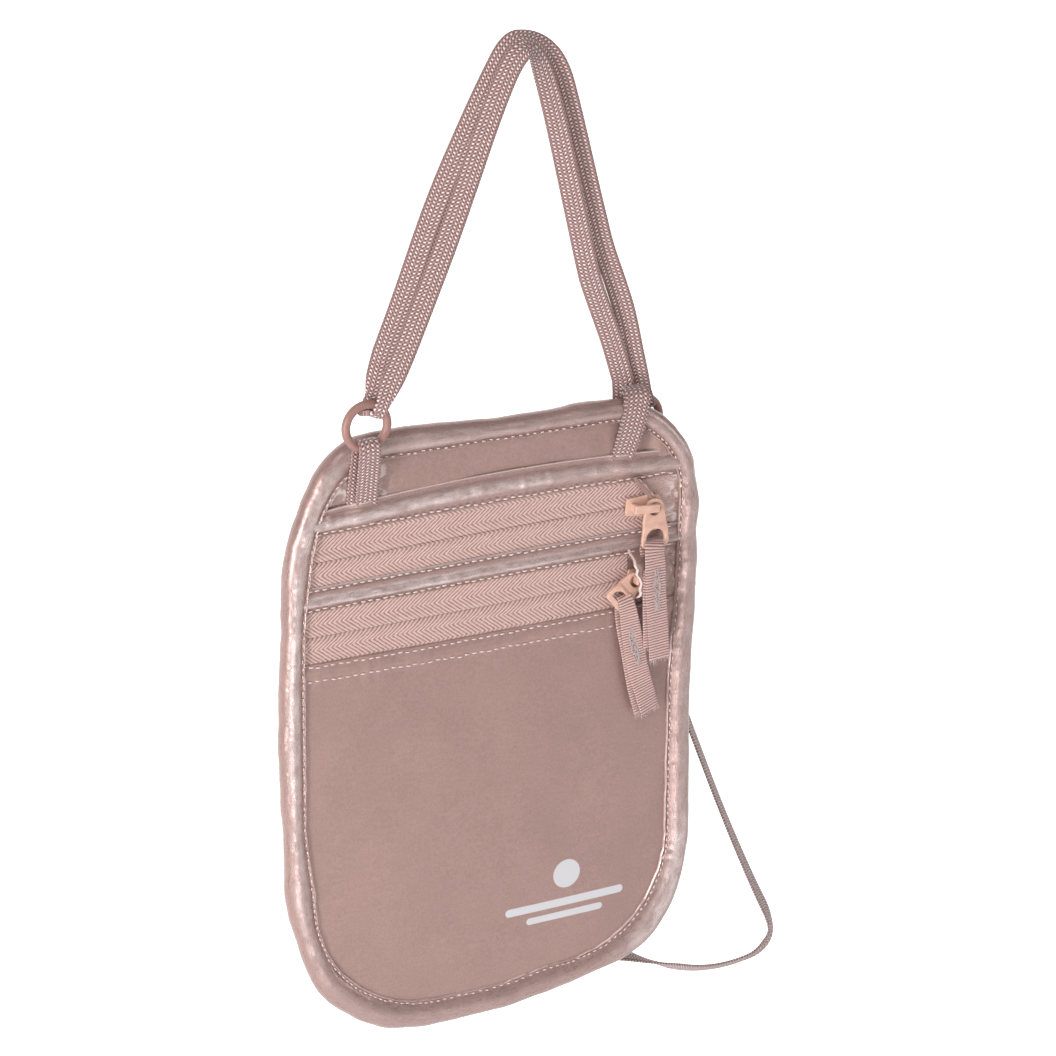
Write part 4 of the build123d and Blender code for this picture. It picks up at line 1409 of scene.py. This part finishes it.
def plate(loops, y_front, y_back, rounding):
    """A plate cut to closed loops in x and z, with rounded edges: mesh points and faces."""
    curve = bpy.data.curves.new("plate", "CURVE")
    curve.dimensions = "2D"
    curve.fill_mode = "BOTH"
    for loop in loops:
        spline = curve.splines.new("POLY")
        spline.points.add(len(loop) - 1)
        for point, (x, z) in zip(spline.points, loop):
            point.co = (x, z, 0, 1)
        spline.use_cyclic_u = True
    curve.extrude = (y_back - y_front) / 2 - rounding
    curve.bevel_depth = rounding
    curve.bevel_resolution = 3
    curve.offset = -rounding
    points, faces = mesh_of_curve(curve)
    middle = (y_front + y_back) / 2
    return np.stack([points[:, 0], middle - points[:, 2], points[:, 1]], 1), faces


def turned(points, pivot, degrees):
    """Points turned about a pivot in the plane of the pouch; positive swings down to the left."""
    angle = math.radians(degrees)
    x, z = points[:, 0], points[:, 2]
    return np.stack([pivot[0] + x * math.cos(angle) + z * math.sin(angle), points[:, 1],
                     pivot[1] - x * math.sin(angle) + z * math.cos(angle)], 1)


def rounded_bar(x_range, y_range, z_range, rounding):
    """A bar with rounded edges, as rings along x."""
    rings = []
    (x0, x1), (y0, y1), (z0, z1) = x_range, y_range, z_range
    ends = [(x0, 0.55), (x0 + rounding * 0.25, 0.8), (x0 + rounding, 1.0), (x1 - rounding, 1.0),
            (x1 - rounding * 0.25, 0.8), (x1, 0.55)]
    for x, share in ends:
        inset = rounding * (1 - share)
        ring = []
        for cy, cz, start in ((1, 1, 0), (-1, 1, 90), (-1, -1, 180), (1, -1, 270)):
            for step in range(5):
                a = math.radians(start + 22.5 * step)
                y = (y0 + y1) / 2 + cy * ((y1 - y0) / 2 - rounding) + math.cos(a) * (rounding - inset)
                z = (z0 + z1) / 2 + cz * ((z1 - z0) / 2 - rounding) + math.sin(a) * (rounding - inset)
                ring.append((x, y, z))
        rings.append(ring)
    return lofted(rings)


BRIDGE_LEG = 3.5
SLIDER_TILT = 5.0


def make_slider(name, node, body, chain):
    """A coil-zip slider: two flared plates, rims, the post, and an arched bridge for the puller."""
    low, high = node_box(node)
    middle = (low[0] + high[0]) / 2
    half = (high[0] - low[0]) / 2
    top = [(half, 2.2), (half - 0.9, 3.2), (0.8, 3.5), (-1.6, 3.0), (-half + 1.5, 2.7), (-half + 0.3, 2.6),
           (-half, 2.2)]
    body_loop = [(x, -z) for x, z in reversed(top)] + [(half + 0.3, 0)] + top
    parts = [
        plate([body_loop], -2.9, -2.1, 0.22),
        plate([body_loop], 0.2, 0.8, 0.18),
        rounded_bar((-half + 1.6, half - 0.8), (-2.3, -1.75), (2.1, 2.7), 0.2),
        rounded_bar((-half + 1.6, half - 0.8), (-2.3, -1.75), (-2.7, -2.1), 0.2),
        rounded_bar((3.0, 5.2), (-2.3, 0.4), (-0.5, 0.5), 0.2),
        rounded_bar((-BRIDGE_LEG - 0.9, BRIDGE_LEG + 0.5), (-6.1, -5.1), (-1.3, 1.3), 0.42),
    ]
    for side in (-1, 1):
        x = side * BRIDGE_LEG - 0.2
        parts.append(rounded_bar((x - 0.7, x + 0.7), (-5.6, -2.6), (-1.25, 1.25), 0.35))
    points, faces = joined(parts)
    points = turned(points, (middle, chain + 0.3), SLIDER_TILT)
    slider = mesh_piece(name, points, faces, MATERIALS["zip_metal"])
    finish_piece(slider, body, "zip_metal", node)


PULLER_SAG = np.array([-0.4, 0.0, -0.5])


def sliced(points, faces, heights):
    """Cuts a mesh across at several heights, so that it can bend there."""
    work = bmesh.new()
    corners = [work.verts.new(p) for p in points]
    for face in faces:
        if len(set(face)) == len(face):
            work.faces.new([corners[i] for i in face])
    for height in heights:
        geometry = work.verts[:] + work.edges[:] + work.faces[:]
        bmesh.ops.bisect_plane(work, geom=geometry, plane_co=(0, 0, height), plane_no=(0, 0, 1))
    work.verts.index_update()
    points = np.array([v.co[:] for v in work.verts])
    faces = [[v.index for v in face.verts] for face in work.faces]
    work.free()
    return points, faces


def make_puller(name, node, body, pivot, degrees, stretch=1.0):
    """A cast puller: an eye on the bridge, shoulders, and a window that holds the ribbon."""
    eye = arc((0, 0), 3.2, 10, 170, 15)
    outline_loop = (eye + [(-3.5, -1.6), (-3.9, -4.6), (-4.3, -7.4), (-4.55, -9.8)]
                    + arc((-2.9, -10.5), 1.6, 180, 270, 6) + arc((2.9, -10.5), 1.6, 270, 360, 6)
                    + [(4.55, -9.8), (4.3, -7.4), (3.9, -4.6), (3.5, -1.6)])
    hole = arc((0, 0), 2.0, 0, 345, 24)
    window = arc((0, -9.2), 3.1, 0, 180, 18) + [(-3.1, -9.9), (3.1, -9.9)]
    points, faces = plate([outline_loop, hole, window], -4.7, -3.5, 0.3)
    points, faces = sliced(points, faces, [-4.0 - 0.2 * step for step in range(9)])
    points[:, 1] -= 0.5 * smooth((-4.0 - points[:, 2]) / 1.6)
    points += PULLER_SAG
    points[:, 2] *= np.where(points[:, 2] < 0, stretch, 1.0)
    puller = mesh_piece(name, turned(points, pivot, degrees), faces, MATERIALS["zip_metal"])
    finish_piece(puller, body, "zip_metal", node)


upper_middle = sum(node_box("upper_slider"))[0] / 2
lower_middle = sum(node_box("lower_slider"))[0] / 2
UPPER_PIVOT = (upper_middle + BRIDGE_LEG, UPPER_CHAIN)
LOWER_PIVOT = (lower_middle - BRIDGE_LEG, LOWER_CHAIN)
LOWER_TURN = 50.0
make_slider("upper_slider_enamel", "upper_slider", "upper_slide", UPPER_CHAIN)
make_slider("lower_slider_enamel", "lower_slider", "lower_slide", LOWER_CHAIN)
make_puller("upper_puller_enamel", "upper_puller", "upper_pull", UPPER_PIVOT, 0.0)
make_puller("lower_puller_enamel", "lower_puller", "lower_pull", LOWER_PIVOT, LOWER_TURN, 0.8)


# ---------------------------------------------------------------- pull tabs

# How thick the ribbon is
RIBBON = 0.6


def ribbon_strip(points_mm, facings, widths):
    """Mesh data of a ribbon along points in millimetres, with uv along and across."""
    route = [tuple(np.array(p) * MM) for p in points_mm]
    points = curve_points(route, 12)
    frames = strip_frames(points, len(route), facings)
    place = route_places(len(route), points)
    width = np.interp(place, range(len(widths)), widths)
    rings, uvs = strip_skin(points, frames, width, np.full(len(points), RIBBON), 9)
    points_out, faces = lofted(rings / MM)
    return points_out, faces, uvs


def frayed_end(left, right, depth, seed, drop=2.2):
    """Loose fibres at a ribbon's cut end: thin hairs of uneven length."""
    rng = np.random.default_rng(seed)
    parts = []
    for _ in range(46):
        share = rng.random()
        start = np.array([left[0] + (right[0] - left[0]) * share, depth + rng.uniform(-0.2, 0.2),
                          left[1] + (right[1] - left[1]) * share + 0.4])
        length = drop * rng.uniform(0.25, 1.0) * (1.4 if share < 0.3 else 1.0)
        lean = rng.normal(0, 0.35, 2)
        rings = []
        for step in range(4):
            t = step / 3
            middle = start + np.array([lean[0] * t * t * length, lean[1] * t * length * 0.4, -length * t])
            radius = 0.10 * (1 - 0.7 * t)
            rings.append([middle + radius * np.array([math.cos(a), math.sin(a), 0]) for a in (0.5, 2.6, 4.7)])
        parts.append(lofted(rings))
    return joined(parts)


def zigzag_tack(top, bottom, y, seed):
    """Tack stitches: a rough bar of thread sewn over and over along the ribbon's middle."""
    rng = np.random.default_rng(seed)
    parts = []
    for share in np.linspace(0, 1, 64):
        x = top[0] + (bottom[0] - top[0]) * share + rng.normal(0, 0.12)
        z = top[1] + (bottom[1] - top[1]) * share
        reach = 1.15 * math.sin(math.pi * (0.08 + 0.84 * share)) ** 0.5
        side = rng.choice((-1, 1))
        centre = (x + side * reach * rng.uniform(0.3, 1.05), y, z + rng.normal(0, 0.3))
        lean = unit(np.array([rng.normal(0, 0.45), 0, -1.0]))
        parts.append(stitch(centre, lean, (0, -1, 0), rng.uniform(0.8, 1.9), 0.12))
        if rng.random() < 0.45:
            lean = unit(np.array([1.0, 0, rng.uniform(-1.4, 1.4)]))
            parts.append(stitch((x, y, z), lean, (0, -1, 0), rng.uniform(1.0, 1.9) * reach, 0.11))
    return joined(parts)


def make_tab(zip_name, place, tails, widths, ends, tack):
    """A pull tab's ribbon, its fibres and its tack, moved to their place.

    The ribbon's tails are each a line and its facings, and its ends and tack are what their own
    functions ask for.
    """
    skins = [ribbon_strip(line, facings, widths) for line, facings in tails]
    points, faces = joined([skin[:2] for skin in skins])
    body = f"{zip_name}_tab"
    ribbon = mesh_piece(f"{zip_name}_pull_ribbon", place(points), faces, MATERIALS["ribbon"],
                        np.concatenate([skin[2] for skin in skins]))
    finish_piece(ribbon, body, "ribbon", f"{zip_name}_pull_tab")
    points, faces = joined([frayed_end(*end) for end in ends])
    fibres = mesh_piece(f"{zip_name}_pull_fibres", place(points), faces, MATERIALS["tack_thread"])
    finish_piece(fibres, body, "ribbon")
    points, faces = zigzag_tack(*tack)
    thread = mesh_piece(f"{zip_name}_tab_tack_thread", place(points), faces, MATERIALS["tack_thread"])
    finish_piece(thread, body, "thread", f"{zip_name}_tab_tack")


# The upper tab: ribbon over the puller's bar, its tails hanging one before the other
make_tab(
    "upper", lambda p: turned(p, UPPER_PIVOT, 0.0),
    [([(-1.2, -5.0, -10.6), (-1.4, -6.6, -10.5), (-1.9, -7.4, -13.0), (-1.8, -7.75, -18.0),
       (-1.5, -7.8, -26.5), (-0.8, -7.85, -34.5), (0.1, -7.9, -46.8)],
      [(0, (0, 0, 1)), (1.2, (0, -0.8, 0.5)), (2.2, (0, -1, 0)), (6, (0, -1, 0))]),
     ([(-1.2, -5.0, -10.7), (-1.3, -3.2, -10.6), (-1.6, -3.2, -13.6), (-1.7, -6.8, -19.0),
       (-2.1, -7.1, -26.0), (-2.0, -7.1, -34.0), (-1.6, -7.15, -43.2)],
      [(0, (0, 0, 1)), (1.2, (0, 0.8, 0.5)), (2.2, (0, 1, 0.2)), (4, (0, 1, 0)), (6, (0, 1, 0))])],
    [6.0, 6.2, 6.6, 6.9, 6.9, 6.9, 6.8],
    [((-3.3, -46.8), (3.5, -46.8), -7.9, 61, 2.2), ((-5.0, -43.2), (-2.6, -43.2), -7.2, 62, 1.6)],
    ((-1.7, -18.2), (-1.0, -31.2), -8.2, 63))

# The lower tab: ribbon pinched in the puller's window, spreading into two tails. Its fold is found
# from the puller, turned as the puller is, and the tab leans back from there
FOLD_ACROSS = 1.1
FOLD_DOWN = 7.8
LOWER_LEAN = -13.6
fold_point = turned(np.array([[FOLD_ACROSS, 0.0, -FOLD_DOWN]]), LOWER_PIVOT, LOWER_TURN)[0]
make_tab(
    "lower", lambda p: turned(p, (fold_point[0], fold_point[2]), LOWER_LEAN),
    [([(1.0, -4.4, 1.8), (1.1, -5.6, 1.8), (1.0, -6.1, -2.0), (0.6, -6.0, -8.0), (0.3, -5.8, -16.0),
       (0.2, -5.7, -24.0), (0.6, -5.8, -30.5), (0.9, -6.1, -37.0)],
      [(0, (0, 0, 1)), (1.2, (0, -0.9, 0.3)), (2.2, (-0.2, -1, 0)), (5, (-0.12, -1, 0)),
       (7, (0.25, -1, 0.1))]),
     ([(1.0, -4.6, 1.7), (0.8, -3.8, 1.5), (0.2, -3.7, -3.0), (-0.3, -4.6, -8.0), (-0.5, -4.9, -16.0),
       (-0.9, -4.9, -24.0), (-0.9, -4.9, -30.0), (-0.5, -4.8, -36.4)],
      [(0, (0, 0, 1)), (1.2, (0, 0.9, 0.3)), (2.2, (0, 1, 0)), (7, (0, 1, 0))])],
    [4.6, 4.8, 5.4, 6.2, 6.5, 6.6, 6.7, 6.7],
    [((-2.3, -37.0), (4.2, -37.0), -6.0, 71, 1.6), ((-3.7, -36.4), (1.0, -36.4), -4.8, 72, 2.2)],
    ((0.3, -8.2), (0.4, -20.6), -6.25, 73))
